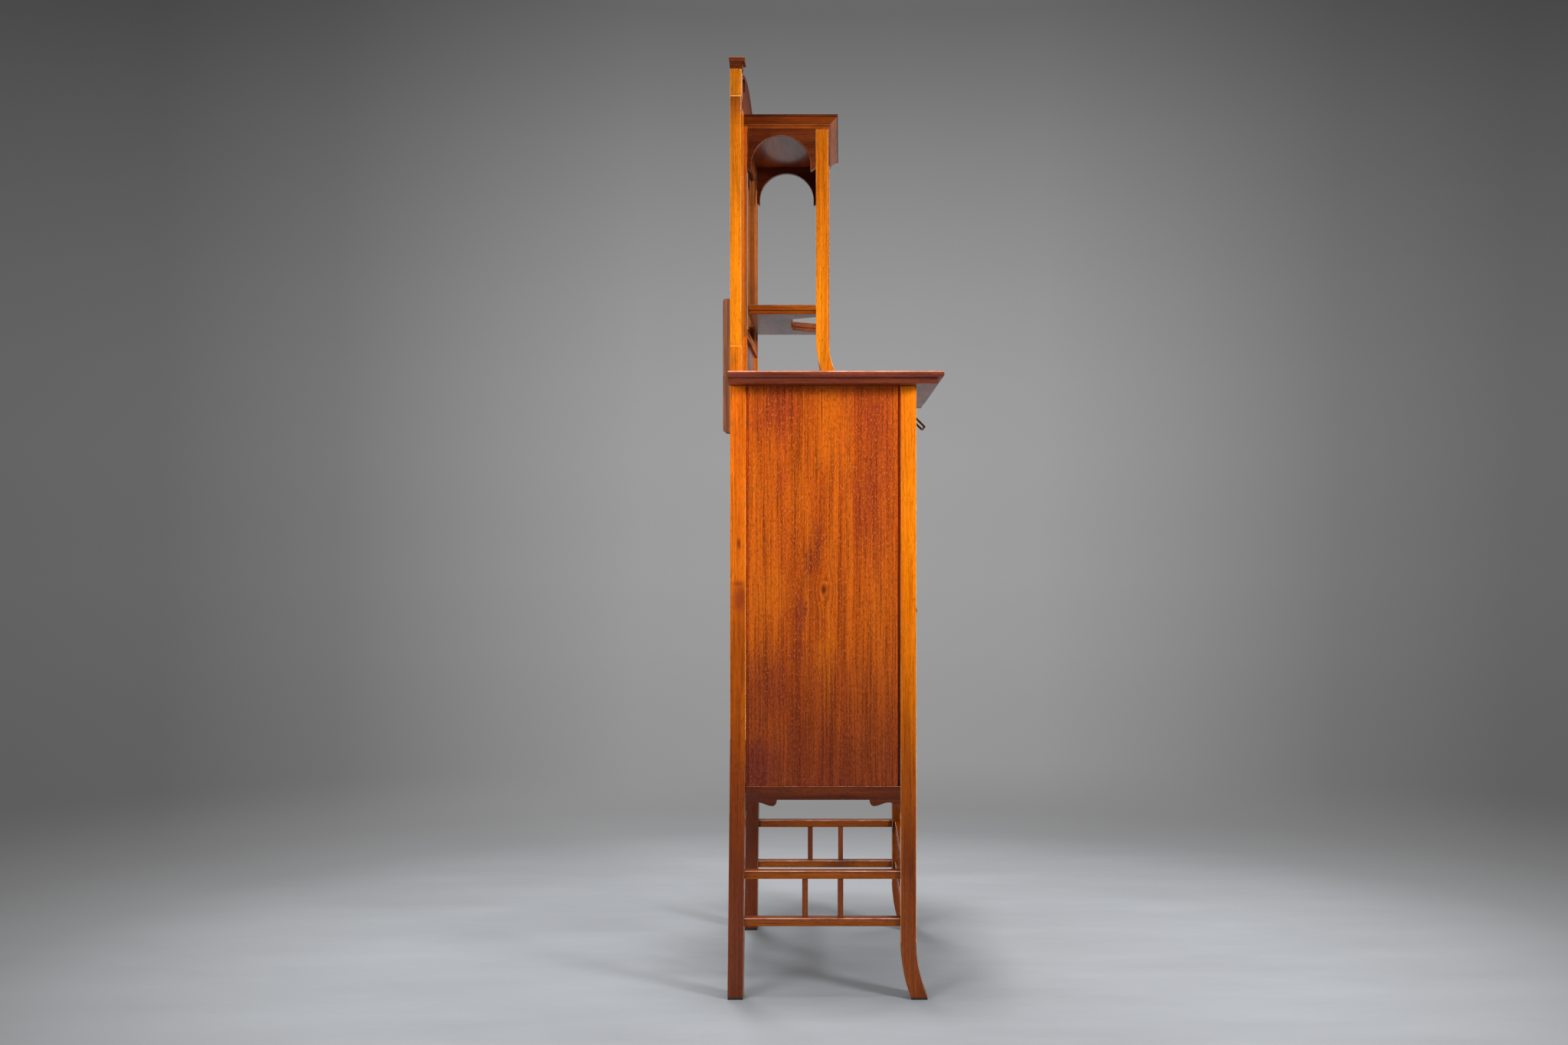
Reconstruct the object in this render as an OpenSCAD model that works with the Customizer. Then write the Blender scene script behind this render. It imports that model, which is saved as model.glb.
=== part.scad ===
// A narrow cabinet on tall swept legs, with one drawer over one mirrored door.
// A mirror-backed superstructure with a canopy on two columns stands on its top.
// The front faces -Y and +Z is up. The origin is on the floor, under the middle of the whole.

/* [Case] */
// Width over the legs
case_w = 442; // [425:1:465]
// Depth over the legs
case_d = 358; // [340:1:380]
// Height of the legs, up to the underside of the top
case_h = 1180; // [1150:1:1230]
// Side of the square legs
leg = 30; // [27:0.5:32]
// Thickness of the top
slab_t = 23; // [23:0.5:28]
// Overhang of the top past the legs, at the front and the sides
slab_over = 50; // [40:1:60]
// Thickness of the pads under the feet
pad_t = 4; // [3:0.5:6]

/* [Feet] */
// Height at which the front feet begin to sweep forward
foot_h = 110; // [90:1:125]
// Radius of that sweep, on the front face
foot_r = 266; // [240:1:320]
// How far the rear feet stand back from the case
rake = 5; // [0:0.5:9]
// Height at which the rear legs begin to lean back
rake_h = 500; // [430:1:600]

/* [Panels] */
// Thickness of a side panel
panel_t = 12; // [9:0.5:14]
// How far a side panel lies behind the faces of the legs
panel_recess = 4; // [2:0.5:6]
// Width of the shadow groove along each long edge of a side panel
groove_w = 5.5; // [4:0.5:10]
// Depth of the groove beside the front leg
groove_d = 5; // [2:0.5:7]
// Depth of the step beside the rear leg
step_d = 1; // [0.5:0.25:3]
// Thickness of the back panel
back_t = 8; // [6:0.5:10]
// Distance of the back panel from the backs of the rear legs
back_inset = 6; // [3:0.5:9]
// Thickness of the bottom board
bottom_t = 16; // [12:0.5:20]
// Thickness of an inner shelf
inner_t = 15; // [12:0.5:18]
// Number of inner shelves
inner_count = 2; // [1:1:3]
// Side of the square battens that carry an inner shelf
cleat = 14; // [10:0.5:18]

/* [Aprons] */
// Height of the lower edge of the aprons
apron_z = 384; // [370:1:400]
// Height of an apron
apron_h = 26; // [20:0.5:32]
// Thickness of an apron
apron_t = 16; // [12:0.5:18]
// How far an apron lies behind the faces of the legs
apron_inset = 1; // [0:0.5:3]
// Length of the shaped bracket at each end of an apron
bracket_w = 60; // [48:1:70]
// Drop of that bracket beside the leg
bracket_drop = 31; // [24:1:38]

/* [Gallery] */
// Height of the underside of the upper gallery rails
upper_rail_z = 230.5; // [215:0.5:260]
// Height of the underside of the lower gallery rails
lower_rail_z = 139.5; // [130:0.5:160]
// Height of a gallery rail
rail_h = 15.5; // [12:0.5:18]
// Thickness of a gallery rail over its beads
rail_t = 18; // [15:0.5:22]
// Radius of the beads on the rail's faces
bead_r = 1.5; // [1:0.25:2.5]
// Side of the square spindles
spindle = 11; // [8:0.5:14]
// Distance between neighbouring spindles
spindle_pitch = 68.4; // [55:0.1:80]
// Number of spindles in each side
side_spindle_count = 2; // [1:1:3]
// Number of spindles in the front
front_spindle_count = 4; // [2:1:4]

/* [Drawer] */
// Height of the rail over the drawer
top_rail_h = 15; // [12:0.5:20]
// Height of the drawer's opening
drawer_opening_h = 72; // [66:1:90]
// Height of the rail between the drawer and the door
divider_h = 13; // [11:0.5:18]
// Depth of that rail from front to back
divider_d = 40; // [30:1:60]
// Thickness of the drawer front and of the front rails
front_t = 18; // [16:0.5:19]
// How far the fronts lie behind the faces of the legs
front_inset = 3; // [2:0.5:4]
// Thickness of the sides of the drawer
drawer_side_t = 9; // [7:0.5:11]
// Thickness of the bottom of the drawer
drawer_base_t = 5; // [4:0.5:7]
// Length of the sides of the drawer
drawer_l = 280; // [250:1:285]
// Gap round the drawer front
drawer_gap = 1; // [0.5:0.25:1.5]
// Running gap between the drawer and its runners
run_gap = 0.3; // [0.2:0.1:0.5]

/* [Handle] */
// Distance between the arms of the bail
bail_w = 82; // [70:1:100]
// Length of the bail from its pivot to its grip
bail_l = 32; // [26:1:38]
// Radius of the bail's rod
bail_r = 2.2; // [1.8:0.1:2.6]
// Angle at which the bail rests below the horizontal
bail_angle = 45; // [35:1:55]
// Height of the bail's pivot over the drawer's opening
bail_rise = 44; // [40:1:48]
// Distance of the bail's pivot from the drawer front
bail_stand = 8; // [7.5:0.5:11]
// Radius of the bail's pivot pins
bail_pin_r = 1.6; // [1.3:0.1:1.8]
// Clearance round every pivot pin
pin_gap = 0.05; // [0.03:0.01:0.08]

/* [Door] */
// Thickness of the door's frame
door_t = 20; // [19:0.5:21]
// Width of the door's stiles
stile_w = 48; // [42:1:60]
// Height of the door's rails
door_rail_h = 52; // [46:1:70]
// Gap round the door
door_gap = 1; // [0.75:0.25:1.5]
// Thickness of the mirror plates
plate_t = 5; // [4:0.25:5]
// Width of the bevel round the mirror plates
bevel_w = 15; // [10:1:22]
// Width of the rebates that hold the mirror plates
rebate_w = 7; // [6:0.5:9]
// Height of a hinge
hinge_h = 60; // [50:1:75]
// Distance of each hinge from the end of the door
hinge_end = 95; // [70:1:150]
// Radius of the hinge's knuckle
knuckle_r = 4; // [3.5:0.25:5]
// Radius of the hinge's pin
hinge_pin_r = 1.5; // [1.2:0.1:2]
// Thickness of a hinge's leaf
leaf_t = 1.5; // [1:0.25:2]
// Width of a hinge's leaf
leaf_w = 22; // [18:0.5:22.5]
// Height of the lock's middle
lock_z = 745; // [700:1:800]
// Distance of the keyhole from the door's edge
keyhole_in = 19; // [15:0.5:24]
// Travel of the lock's bolt
bolt_travel = 7; // [5:0.5:8]

/* [Superstructure] */
// Depth of a back post
post_d = 22; // [20:0.5:26]
// Height of a back post
post_h = 586; // [570:1:600]
// Height of the square block at the foot of a post
post_foot_h = 54; // [45:1:65]
// Height of the square block at the head of a post
post_head_h = 53; // [45:1:65]
// Depth of the chamfer between a post's blocks and its shaft
post_neck = 1.25; // [0.5:0.25:2]
// Height of a post's cap
cap_h = 21; // [18:0.5:26]
// Distance of each column from the side of the case
column_in = 80; // [72:1:88]
// Side of the square columns
column = 24.5; // [22:0.5:27]
// Distance from the front of the posts to the front of the columns
column_reach = 166; // [155:1:180]
// Height over the top at which a column begins to sweep forward
column_foot_h = 80; // [65:1:90]
// Radius of that sweep, on the front face
column_foot_r = 170; // [150:1:220]
// Height of the canopy's underside over the top
canopy_rise = 495; // [480:1:510]
// Thickness of the canopy
canopy_t = 23; // [23:0.5:28]
// Reach of the cornice past the canopy's board
cornice_out = 19; // [15:0.5:20]
// Height of the display shelf's underside over the top
shelf_rise = 128; // [115:1:145]
// Thickness of the display shelf
shelf_t = 18; // [15:0.5:22]
// Width of the display shelf's arms where they meet the columns
shelf_arm = 43; // [36:1:50]
// Depth of the cut between those arms
shelf_cut = 52; // [44:1:60]
// Angle at which the arms' inner edges lean inwards
shelf_lean = 30; // [20:1:35]
// Radius of the inner corners of that cut
shelf_round = 8; // [5:1:12]
// Thickness of the arched boards
arch_t = 10; // [8:0.5:12]
// How far a side arch's middle stands behind the middle of its board
arch_shift = 2; // [0:0.5:3]
// Radius of the side arches
arch_r = 59; // [50:0.5:60]
// Height of the crown of the arches below the canopy
arch_crown = 13; // [10:0.5:20]
// Depth of the arched boards' tips below the spring of the arch
arch_tip = 12; // [8:0.5:16]
// Rise of the wide arch between the columns
front_arch_rise = 58; // [40:1:58]
// Height of the mirror frame's lower edge over the top
mirror_rise = 80; // [70:1:90]
// Width of the mirror frame's members
frame_w = 28; // [24:1:34]
// Thickness of the mirror frame
frame_t = 17; // [12:0.5:18]
// How far the mirror frame stands proud of the posts
frame_proud = 6.3; // [5:0.1:6.5]
// Width of the boards beside the mirror
side_board_w = 31; // [24:1:36]
// Thickness of the boards beside and below the mirror
board_t = 12; // [10:0.5:14]
// Thickness of the board behind the mirror
backboard_t = 6; // [4:0.5:8]
// Rise of the pediment's crest over the tops of the posts
crest_rise = 39; // [30:1:50]
// Rise of the pediment's curve from its ends to its crest
crest_bow = 43; // [30:1:55]
// Height of the two curved slots in the pediment
pierce_h = 24; // [16:1:28]
// Length of a slot, between the middles of its round ends
pierce_l = 58; // [40:1:62]
// Distance of a slot from its post
pierce_in = 23; // [18:1:28]
// Width of the rim over the slots
pierce_rim = 8; // [6:0.5:12]

/* [Back battens] */
// Thickness of the battens that join the superstructure to the case
batten_t = 14; // [10:0.5:16]
// Width of a batten
batten_w = 50; // [40:1:60]
// Height of a batten over the top
batten_up = 145; // [125:1:160]
// Drop of a batten below the underside of the top
batten_down = 89; // [75:1:110]
// Radius of the batten screws' shanks
screw_r = 1.9; // [1.5:0.1:2.2]
// Length of a batten screw
screw_l = 26; // [22:1:28]

/* [Hidden] */
$fn = 48;

// Finishes
light_wood = [0.78, 0.42, 0.08];
panel_wood = [0.68, 0.33, 0.10];
dark_wood = [0.42, 0.17, 0.09];
raw_wood = [0.42, 0.30, 0.25];
brass = [0.50, 0.38, 0.16];
glass = [0.75, 0.80, 0.82];

// Planes of the case
half_w = case_w / 2;
rear_y = (batten_t + case_d + slab_over) / 2 - batten_t;
front_y = rear_y - case_d;
leg_in_x = half_w - leg;
leg_in_front = front_y + leg;
leg_in_rear = rear_y - leg;
apron_top = apron_z + apron_h;
slab_top = case_h + slab_t;
panel_out_x = half_w - panel_recess;
panel_in_x = panel_out_x - panel_t;
apron_out_x = half_w - apron_inset;
apron_in_x = apron_out_x - apron_t;
face_y = front_y + front_inset;
back_y = rear_y - back_inset - back_t;

// Levels of the drawer and the door
drawer_top = case_h - top_rail_h;
drawer_z = drawer_top - drawer_opening_h;
divider_z = drawer_z - divider_h;
door_z0 = apron_top + door_gap;
door_z1 = divider_z - door_gap;
front_rail_y = face_y + 2;
front_rail_back = face_y + door_t;

// Drawer
drawer_half = leg_in_x - drawer_gap;
drawer_side_x = leg_in_x - 1.5;
drawer_box_y = face_y + front_t;
drawer_end_y = drawer_box_y + drawer_l;
drawer_box_z = drawer_z + run_gap;
drawer_box_top = drawer_top - 5;
base_z = drawer_box_z + 8;
base_groove = 4;
base_gap = 0.1;
runner_in_x = drawer_side_x - drawer_side_t - 2;
guide_h = 15;
guide_gap = 0.7;
kicker_gap = 2;

// Handle
bail_z = drawer_z + bail_rise;
bail_y = face_y - bail_stand;
eye_r = 4.6;
eye_w = 6;
eye_gap = 0.3;
rosette_r = 9;
rosette_t = 2.5;
bail_bend = 6;
arm_x = bail_w / 2;
eye_out_x = arm_x - bail_r - eye_gap;
eye_in_x = eye_out_x - eye_w;
eye_mid_x = eye_out_x - eye_w / 2;
stop_r = 1.2;
stop_gap = 0.1;

// Door
door_half = leg_in_x - door_gap;
sight_x = door_half - stile_w;
sight_z0 = door_z0 + door_rail_h;
sight_z1 = door_z1 - door_rail_h;
door_back_y = face_y + door_t;
backing_t = 5;
backing_y = door_back_y - backing_t - 2;
door_plate_y = backing_y - plate_t;
plate_gap = 0.5;
bevel_d = 2;
hinge_x = leg_in_x - door_gap / 2;
hinge_y = front_y - knuckle_r - 0.5;
hinge_zs = [door_z0 + hinge_end, door_z1 - hinge_end];
knuckle_gap = 0.3;
leaf_end_y = front_y + leaf_w;
finial_r = 2.6;
finial_out = sqrt(finial_r * finial_r - hinge_pin_r * hinge_pin_r) + 0.1;

// Lock
lock_w = 38;
lock_h = 44;
lock_t = 8;
bolt_h = 10;
bolt_t = 5;
bolt_l = 24;
bolt_gap = 0.2;
bolt_y = door_back_y - lock_t / 2;
keyhole_x = -door_half + keyhole_in;
keyhole_r = 1.6;
plate_disc_r = 7.5;
plate_disc_t = 1.5;
boss_r = 3.6;
boss_out = 7;

// Superstructure
post_front = rear_y - post_d;
post_top = slab_top + post_h;
column_out_x = half_w - column_in;
column_in_x = column_out_x - column;
column_front = post_front - column_reach;
column_back = column_front + column;
canopy_z = slab_top + canopy_rise;
canopy_top = canopy_z + canopy_t;
frame_front = post_front - frame_proud;
frame_back = frame_front + frame_t;
frame_z0 = slab_top + mirror_rise;
frame_out_x = leg_in_x - side_board_w;
frame_in_x = frame_out_x - frame_w;
plate_y = frame_back - plate_t - 1;
shelf_z = slab_top + shelf_rise;
arch_mid_y = (column_back + frame_front) / 2 + arch_shift;
arch_spring = canopy_z - arch_crown - arch_r;
arch_inset = 0.5;
arch_mid_x = column_out_x - arch_inset - arch_t / 2;
valance_half = column_in_x;
valance_r = valance_half - 10;
valance_spring = canopy_z - arch_crown - front_arch_rise;
crest_z = post_top + crest_rise;
pediment_y = post_front + 3;

// Battens
batten_out_x = half_w - 7;
batten_in_x = batten_out_x - batten_w;
batten_round = 5;
screw_x = half_w - leg / 2 - 3;
screw_head_r = 4;
screw_head_t = 2.5;
screw_zs = [
    case_h - batten_down + 24, case_h - 30,
    slab_top + post_foot_h / 2, slab_top + batten_up - 30
];

// How far an arc of radius r has left its tangent after a run of h
function sweep_at(r, h) = r - sqrt(r * r - h * h);

// Where the front of a raked rear leg lies at height z
function rake_at(z) = z < rake_h ? rake * (rake_h - z) / (rake_h - pad_t) : 0;

// A half-round nose of radius r, as heights and reaches, for a moulding's outline
function nose(z, out, r) = [for (a = [-90:15:90]) [z + r * sin(a), out + r * cos(a)]];

// A hollow of radius r from its foot at [z, out], rising outwards
function cove(z, out, r) = [for (a = [0:15:90]) [z + r * sin(a), out + r - r * cos(a) ]];

// The lower edge of a bracket: distances from the leg and drops below the apron
function bracket_edge() =
    let (hollow = bracket_w * 0.38, swell = bracket_w * 0.86, lip = bracket_w - swell)
    let (shallow = bracket_drop * 0.16, deep = bracket_drop * 0.39)
    concat(
        [for (a = [0:10:80]) [hollow * (1 - cos(a)), bracket_drop - (bracket_drop - shallow) * sin(a)]],
        [for (k = [0:6]) [
            hollow + (swell - hollow) * k / 6,
            shallow + (deep - shallow) * (1 - cos(30 * k)) / 2
        ]],
        [for (a = [15:15:90]) [swell + lip * sin(a), deep * cos(a)]]
    );

// A box between two opposite corners
module block(lo, hi) {
    translate(lo) cube(hi - lo);
}

// An outline in Y and Z, drawn out along X
module along_x(x0, x1) {
    translate([x0, 0, 0]) rotate([90, 0, 90]) linear_extrude(x1 - x0) children();
}

// An outline in X and Z, drawn out along Y
module along_y(y0, y1) {
    translate([0, y1, 0]) rotate([90, 0, 0]) linear_extrude(y1 - y0) children();
}

// The right-hand piece as drawn, and its mirror image on the left
module pair() {
    children();
    mirror([1, 0, 0]) children();
}

// A block with moulded and mitred sides: rows hold heights and reaches, and share
// holds how much of the reach goes to the left, right, front and back
module moulded_block(lo, hi, z, rows, share = [1, 1, 1, 1]) {
    n = len(rows);
    far = 40;
    intersection() {
        along_y(lo[1] - far, hi[1] + far) polygon(concat(
            [for (k = [0:n - 1]) [lo[0] - share[0] * rows[k][1], z + rows[k][0]]],
            [for (k = [n - 1:-1:0]) [hi[0] + share[1] * rows[k][1], z + rows[k][0]]]
        ));
        along_x(lo[0] - far, hi[0] + far) polygon(concat(
            [for (k = [0:n - 1]) [lo[1] - share[2] * rows[k][1], z + rows[k][0]]],
            [for (k = [n - 1:-1:0]) [hi[1] + share[3] * rows[k][1], z + rows[k][0]]]
        ));
    }
}

// A mirror plate that faces -Y, with a bevel round its front
module bevelled_plate(lo, hi) {
    intersection() {
        along_x(lo[0], hi[0]) polygon([
            [hi[1], lo[2]], [lo[1] + bevel_d, lo[2]], [lo[1], lo[2] + bevel_w],
            [lo[1], hi[2] - bevel_w], [lo[1] + bevel_d, hi[2]], [hi[1], hi[2]]
        ]);
        translate([0, 0, lo[2]]) linear_extrude(hi[2] - lo[2]) polygon([
            [lo[0], hi[1]], [lo[0], lo[1] + bevel_d], [lo[0] + bevel_w, lo[1]],
            [hi[0] - bevel_w, lo[1]], [hi[0], lo[1] + bevel_d], [hi[0], hi[1]]
        ]);
    }
}

// A straight shaft of depth d from z0 to z1 with its front at y, whose foot sweeps
// forward on an arc of radius r over the last run of height h
module swept_outline(y, d, z0, z1, h, r) {
    mid = z0 + h;
    translate([y, mid]) square([d, z1 - mid]);
    intersection() {
        translate([y - r, mid]) difference() {
            circle(r + d, $fn = 96);
            circle(r, $fn = 96);
        }
        translate([y - r, z0]) square([r + d, h]);
    }
}

// The places of the batten screws on the right, pointing forward from the batten's back
module at_screws() {
    for (z = screw_zs) {
        translate([screw_x, rear_y + batten_t, z]) rotate([90, 0, 0]) children();
    }
}

module screw_hole() {
    translate([0, 0, -1]) cylinder(h = screw_l + 2, r = screw_r);
}

// Legs and feet

module front_leg_body() {
    along_x(leg_in_x, half_w) swept_outline(front_y, leg, pad_t, case_h, foot_h - pad_t, foot_r);
}

module leg_front_left() {
    color(light_wood) difference() {
        mirror([1, 0, 0]) front_leg_body();
        block(
            [-leg_in_x - bolt_travel - 1, bolt_y - bolt_t / 2 - 0.5, lock_z - bolt_h / 2 - 0.5],
            [-leg_in_x + 1, bolt_y + bolt_t / 2 + 0.5, lock_z + bolt_h / 2 + 0.5]
        );
    }
}

module leg_front_right() {
    color(light_wood) difference() {
        front_leg_body();
        for (z = hinge_zs) {
            block(
                [leg_in_x - 1, front_y - 1, z - hinge_h / 2],
                [leg_in_x + leaf_t, leaf_end_y, z + hinge_h / 2]
            );
        }
    }
}

module rear_leg_body() {
    difference() {
        along_x(leg_in_x, half_w) polygon([
            [leg_in_rear + rake, pad_t], [rear_y + rake, pad_t], [rear_y, rake_h],
            [rear_y, case_h], [leg_in_rear, case_h], [leg_in_rear, rake_h]
        ]);
        at_screws() screw_hole();
    }
}

module leg_rear_left() {
    color(light_wood) mirror([1, 0, 0]) rear_leg_body();
}

module leg_rear_right() {
    color(light_wood) rear_leg_body();
}

module foot_pads() {
    sole_front = front_y - sweep_at(foot_r, foot_h - pad_t);
    sole_back = leg_in_front - sweep_at(foot_r + leg, foot_h - pad_t);
    color("dimgray") pair() {
        block([leg_in_x, sole_front, 0], [half_w, sole_back, pad_t]);
        block([leg_in_x, leg_in_rear + rake, 0], [half_w, rear_y + rake, pad_t]);
    }
}

// Panels of the case

module side_panel_body() {
    difference() {
        block([panel_in_x, leg_in_front, apron_top], [panel_out_x, leg_in_rear, case_h]);
        block(
            [panel_out_x - groove_d, leg_in_front - 1, apron_top - 1],
            [panel_out_x + 1, leg_in_front + groove_w, case_h + 1]
        );
        block(
            [panel_out_x - step_d, leg_in_rear - groove_w, apron_top - 1],
            [panel_out_x + 1, leg_in_rear + 1, case_h + 1]
        );
    }
}

module side_panel_left() {
    color(panel_wood) mirror([1, 0, 0]) side_panel_body();
}

module side_panel_right() {
    color(panel_wood) side_panel_body();
}

// The outline of an apron from u0 to u1, with a bracket at each end
module apron_outline(u0, u1) {
    edge = bracket_edge();
    n = len(edge);
    polygon(concat(
        [[u0, apron_top]],
        [for (k = [0:n - 1]) [u0 + edge[k][0], apron_z - edge[k][1]]],
        [for (k = [n - 1:-1:0]) [u1 - edge[k][0], apron_z - edge[k][1]]],
        [[u1, apron_top]]
    ));
}

module side_apron_body() {
    along_x(apron_in_x, apron_out_x) apron_outline(leg_in_front, leg_in_rear);
}

module side_apron_left() {
    color(dark_wood) mirror([1, 0, 0]) side_apron_body();
}

module side_apron_right() {
    color(dark_wood) side_apron_body();
}

module front_apron() {
    color(dark_wood) along_y(front_rail_y, front_rail_back) apron_outline(-leg_in_x, leg_in_x);
}

module bottom_board() {
    top = apron_top;
    color(raw_wood) {
        block([-leg_in_x, front_rail_back, top - bottom_t], [leg_in_x, back_y, top]);
        pair() block([leg_in_x, leg_in_front, top - bottom_t], [apron_in_x, leg_in_rear, top]);
    }
}

module back_panel() {
    color(raw_wood) block([-leg_in_x, back_y, apron_z], [leg_in_x, back_y + back_t, case_h]);
}

module top_front_rail() {
    color(light_wood) block(
        [-leg_in_x, front_rail_y, drawer_top],
        [leg_in_x, front_rail_y + divider_d - 10, case_h]
    );
}

module divider_rail() {
    color(light_wood) block(
        [-leg_in_x, front_rail_y, divider_z],
        [leg_in_x, front_rail_y + divider_d, drawer_z]
    );
}

// The runners under the drawer, with a guide beside it and a kicker over it
module drawer_runners() {
    y0 = front_rail_y + divider_d;
    color(raw_wood) pair() {
        block([runner_in_x, y0, divider_z], [panel_in_x, leg_in_rear, drawer_z]);
        block([drawer_side_x + guide_gap, y0, drawer_z], [panel_in_x, leg_in_rear, drawer_z + guide_h]);
        block(
            [runner_in_x, y0 - 10, drawer_box_top + kicker_gap],
            [panel_in_x, leg_in_rear, case_h]
        );
    }
}

// The undersides of the inner shelves, evenly spaced up the cupboard
inner_zs = [
    for (k = [1:inner_count]) apron_top + (divider_z - apron_top) * k / (inner_count + 1) - inner_t / 2
];

module inner_shelves() {
    color(raw_wood) for (z = inner_zs) {
        block([-panel_in_x, leg_in_front, z], [panel_in_x, leg_in_rear, z + inner_t]);
    }
}

module shelf_cleats() {
    color(raw_wood) for (z = inner_zs) {
        pair() block([panel_in_x - cleat, leg_in_front + 4, z - cleat], [panel_in_x, leg_in_rear, z]);
    }
}

// Gallery of rails and spindles between the legs

// A rail's cross-section about u = 0, with a bead at the top and bottom of each face
module rail_section(z) {
    core = rail_t - 2 * bead_r;
    translate([-core / 2, z]) square([core, rail_h]);
    for (s = [-1, 1]) {
        for (w = [bead_r, rail_h - bead_r]) {
            translate([s * core / 2, z + w]) circle(bead_r, $fn = 24);
        }
    }
}

module side_rail_body(z) {
    intersection() {
        along_y(leg_in_front, leg_in_rear + rake) translate([half_w - leg / 2, 0]) rail_section(z);
        along_x(leg_in_x, half_w) polygon([
            [leg_in_front, z - 1],
            [leg_in_rear + rake_at(z - 1), z - 1],
            [leg_in_rear + rake_at(z + rail_h + 1), z + rail_h + 1],
            [leg_in_front, z + rail_h + 1]
        ]);
    }
}

module side_upper_rails() {
    color(light_wood) pair() side_rail_body(upper_rail_z);
}

module side_lower_rails() {
    color(light_wood) pair() side_rail_body(lower_rail_z);
}

module front_rail_body(z) {
    along_x(-leg_in_x, leg_in_x) translate([front_y + leg / 2, 0]) rail_section(z);
}

module front_upper_rail() {
    color(light_wood) front_rail_body(upper_rail_z);
}

module front_lower_rail() {
    color(light_wood) front_rail_body(lower_rail_z);
}

module spindle_at(x, y) {
    block(
        [x - spindle / 2, y - spindle / 2, lower_rail_z + rail_h],
        [x + spindle / 2, y + spindle / 2, upper_rail_z]
    );
}

module side_spindles() {
    mid = (leg_in_front + leg_in_rear) / 2 + 1;
    color(light_wood) pair() {
        for (k = [0:side_spindle_count - 1]) {
            spindle_at(half_w - leg / 2, mid + (k - (side_spindle_count - 1) / 2) * spindle_pitch);
        }
    }
}

module front_spindles() {
    color(light_wood) for (k = [0:front_spindle_count - 1]) {
        spindle_at((k - (front_spindle_count - 1) / 2) * spindle_pitch, front_y + leg / 2);
    }
}

// Top

// The top's edge: a plain band, a small hollow and a half-round nose that reaches furthest
function slab_rows() =
    let (nose_r = 6.5, set_back = 11, hollow_r = 4)
    let (nose_z = slab_t - nose_r)
    concat(
        [[0, -set_back]],
        cove(nose_z - nose_r - hollow_r, -set_back, hollow_r),
        nose(nose_z, -nose_r, nose_r)
    );

module top_slab() {
    color(dark_wood) moulded_block(
        [-half_w - slab_over, front_y - slab_over], [half_w + slab_over, rear_y],
        case_h, slab_rows(), [1, 1, 1, 0]
    );
}

// Superstructure

function post_rows() =
    let (chamfer = 2)
    [
        [0, 0], [post_foot_h - chamfer, 0], [post_foot_h, -post_neck],
        [post_h - post_head_h, -post_neck], [post_h - post_head_h + chamfer, 0], [post_h, 0]
    ];

module post_body() {
    difference() {
        moulded_block([leg_in_x, post_front], [half_w, rear_y], slab_top, post_rows(), [1, 1, 1, 0]);
        at_screws() screw_hole();
    }
}

module post_left() {
    color(light_wood) mirror([1, 0, 0]) post_body();
}

module post_right() {
    color(light_wood) post_body();
}

// A shallow foot, a band and a neck under a plate that reaches furthest, with an eased edge
function cap_rows() =
    let (plate_h = cap_h / 3, ease = 1.5, band = 1.2, neck = 0.6)
    let (neck_z = cap_h - plate_h, foot_z = neck_z * 0.35, band_z = neck_z * 0.75)
    [
        [0, neck], [foot_z, neck], [foot_z, band], [band_z, band], [band_z, neck],
        [neck_z, neck], [neck_z, 4 - ease / 2], [neck_z + ease / 2, 4],
        [cap_h - ease, 4], [cap_h, 4 - ease]
    ];

module post_caps() {
    color(dark_wood) pair() moulded_block(
        [leg_in_x, post_front], [half_w, rear_y], post_top, cap_rows(), [1, 1, 1.75, 0.5]
    );
}

module side_boards() {
    color(light_wood) pair() block(
        [frame_out_x, post_front, slab_top], [leg_in_x, post_front + board_t, canopy_top]
    );
}

module lower_panel() {
    color(dark_wood) block(
        [-frame_out_x, post_front, slab_top], [frame_out_x, post_front + board_t, frame_z0]
    );
}

module mirror_stiles() {
    color(dark_wood) pair() difference() {
        block([frame_in_x, frame_front, frame_z0], [frame_out_x, frame_back, canopy_z]);
        block(
            [frame_in_x - 1, plate_y, frame_z0 + frame_w - rebate_w],
            [frame_in_x + rebate_w, frame_back + 1, canopy_z - frame_w + rebate_w]
        );
    }
}

module mirror_rails() {
    color(dark_wood) difference() {
        union() {
            block([-frame_in_x, frame_front, frame_z0], [frame_in_x, frame_back, frame_z0 + frame_w]);
            block([-frame_in_x, frame_front, canopy_z - frame_w], [frame_in_x, frame_back, canopy_z]);
        }
        block(
            [-frame_in_x - 1, plate_y, frame_z0 + frame_w - rebate_w],
            [frame_in_x + 1, frame_back + 1, canopy_z - frame_w + rebate_w]
        );
    }
}

module mirror_plate() {
    x = frame_in_x + rebate_w - plate_gap;
    color(glass) bevelled_plate(
        [-x, plate_y, frame_z0 + frame_w - rebate_w + plate_gap],
        [x, plate_y + plate_t, canopy_z - frame_w + rebate_w - plate_gap]
    );
}

module mirror_backboard() {
    color(raw_wood) block(
        [-frame_out_x, frame_back, frame_z0], [frame_out_x, frame_back + backboard_t, canopy_top]
    );
}

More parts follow.
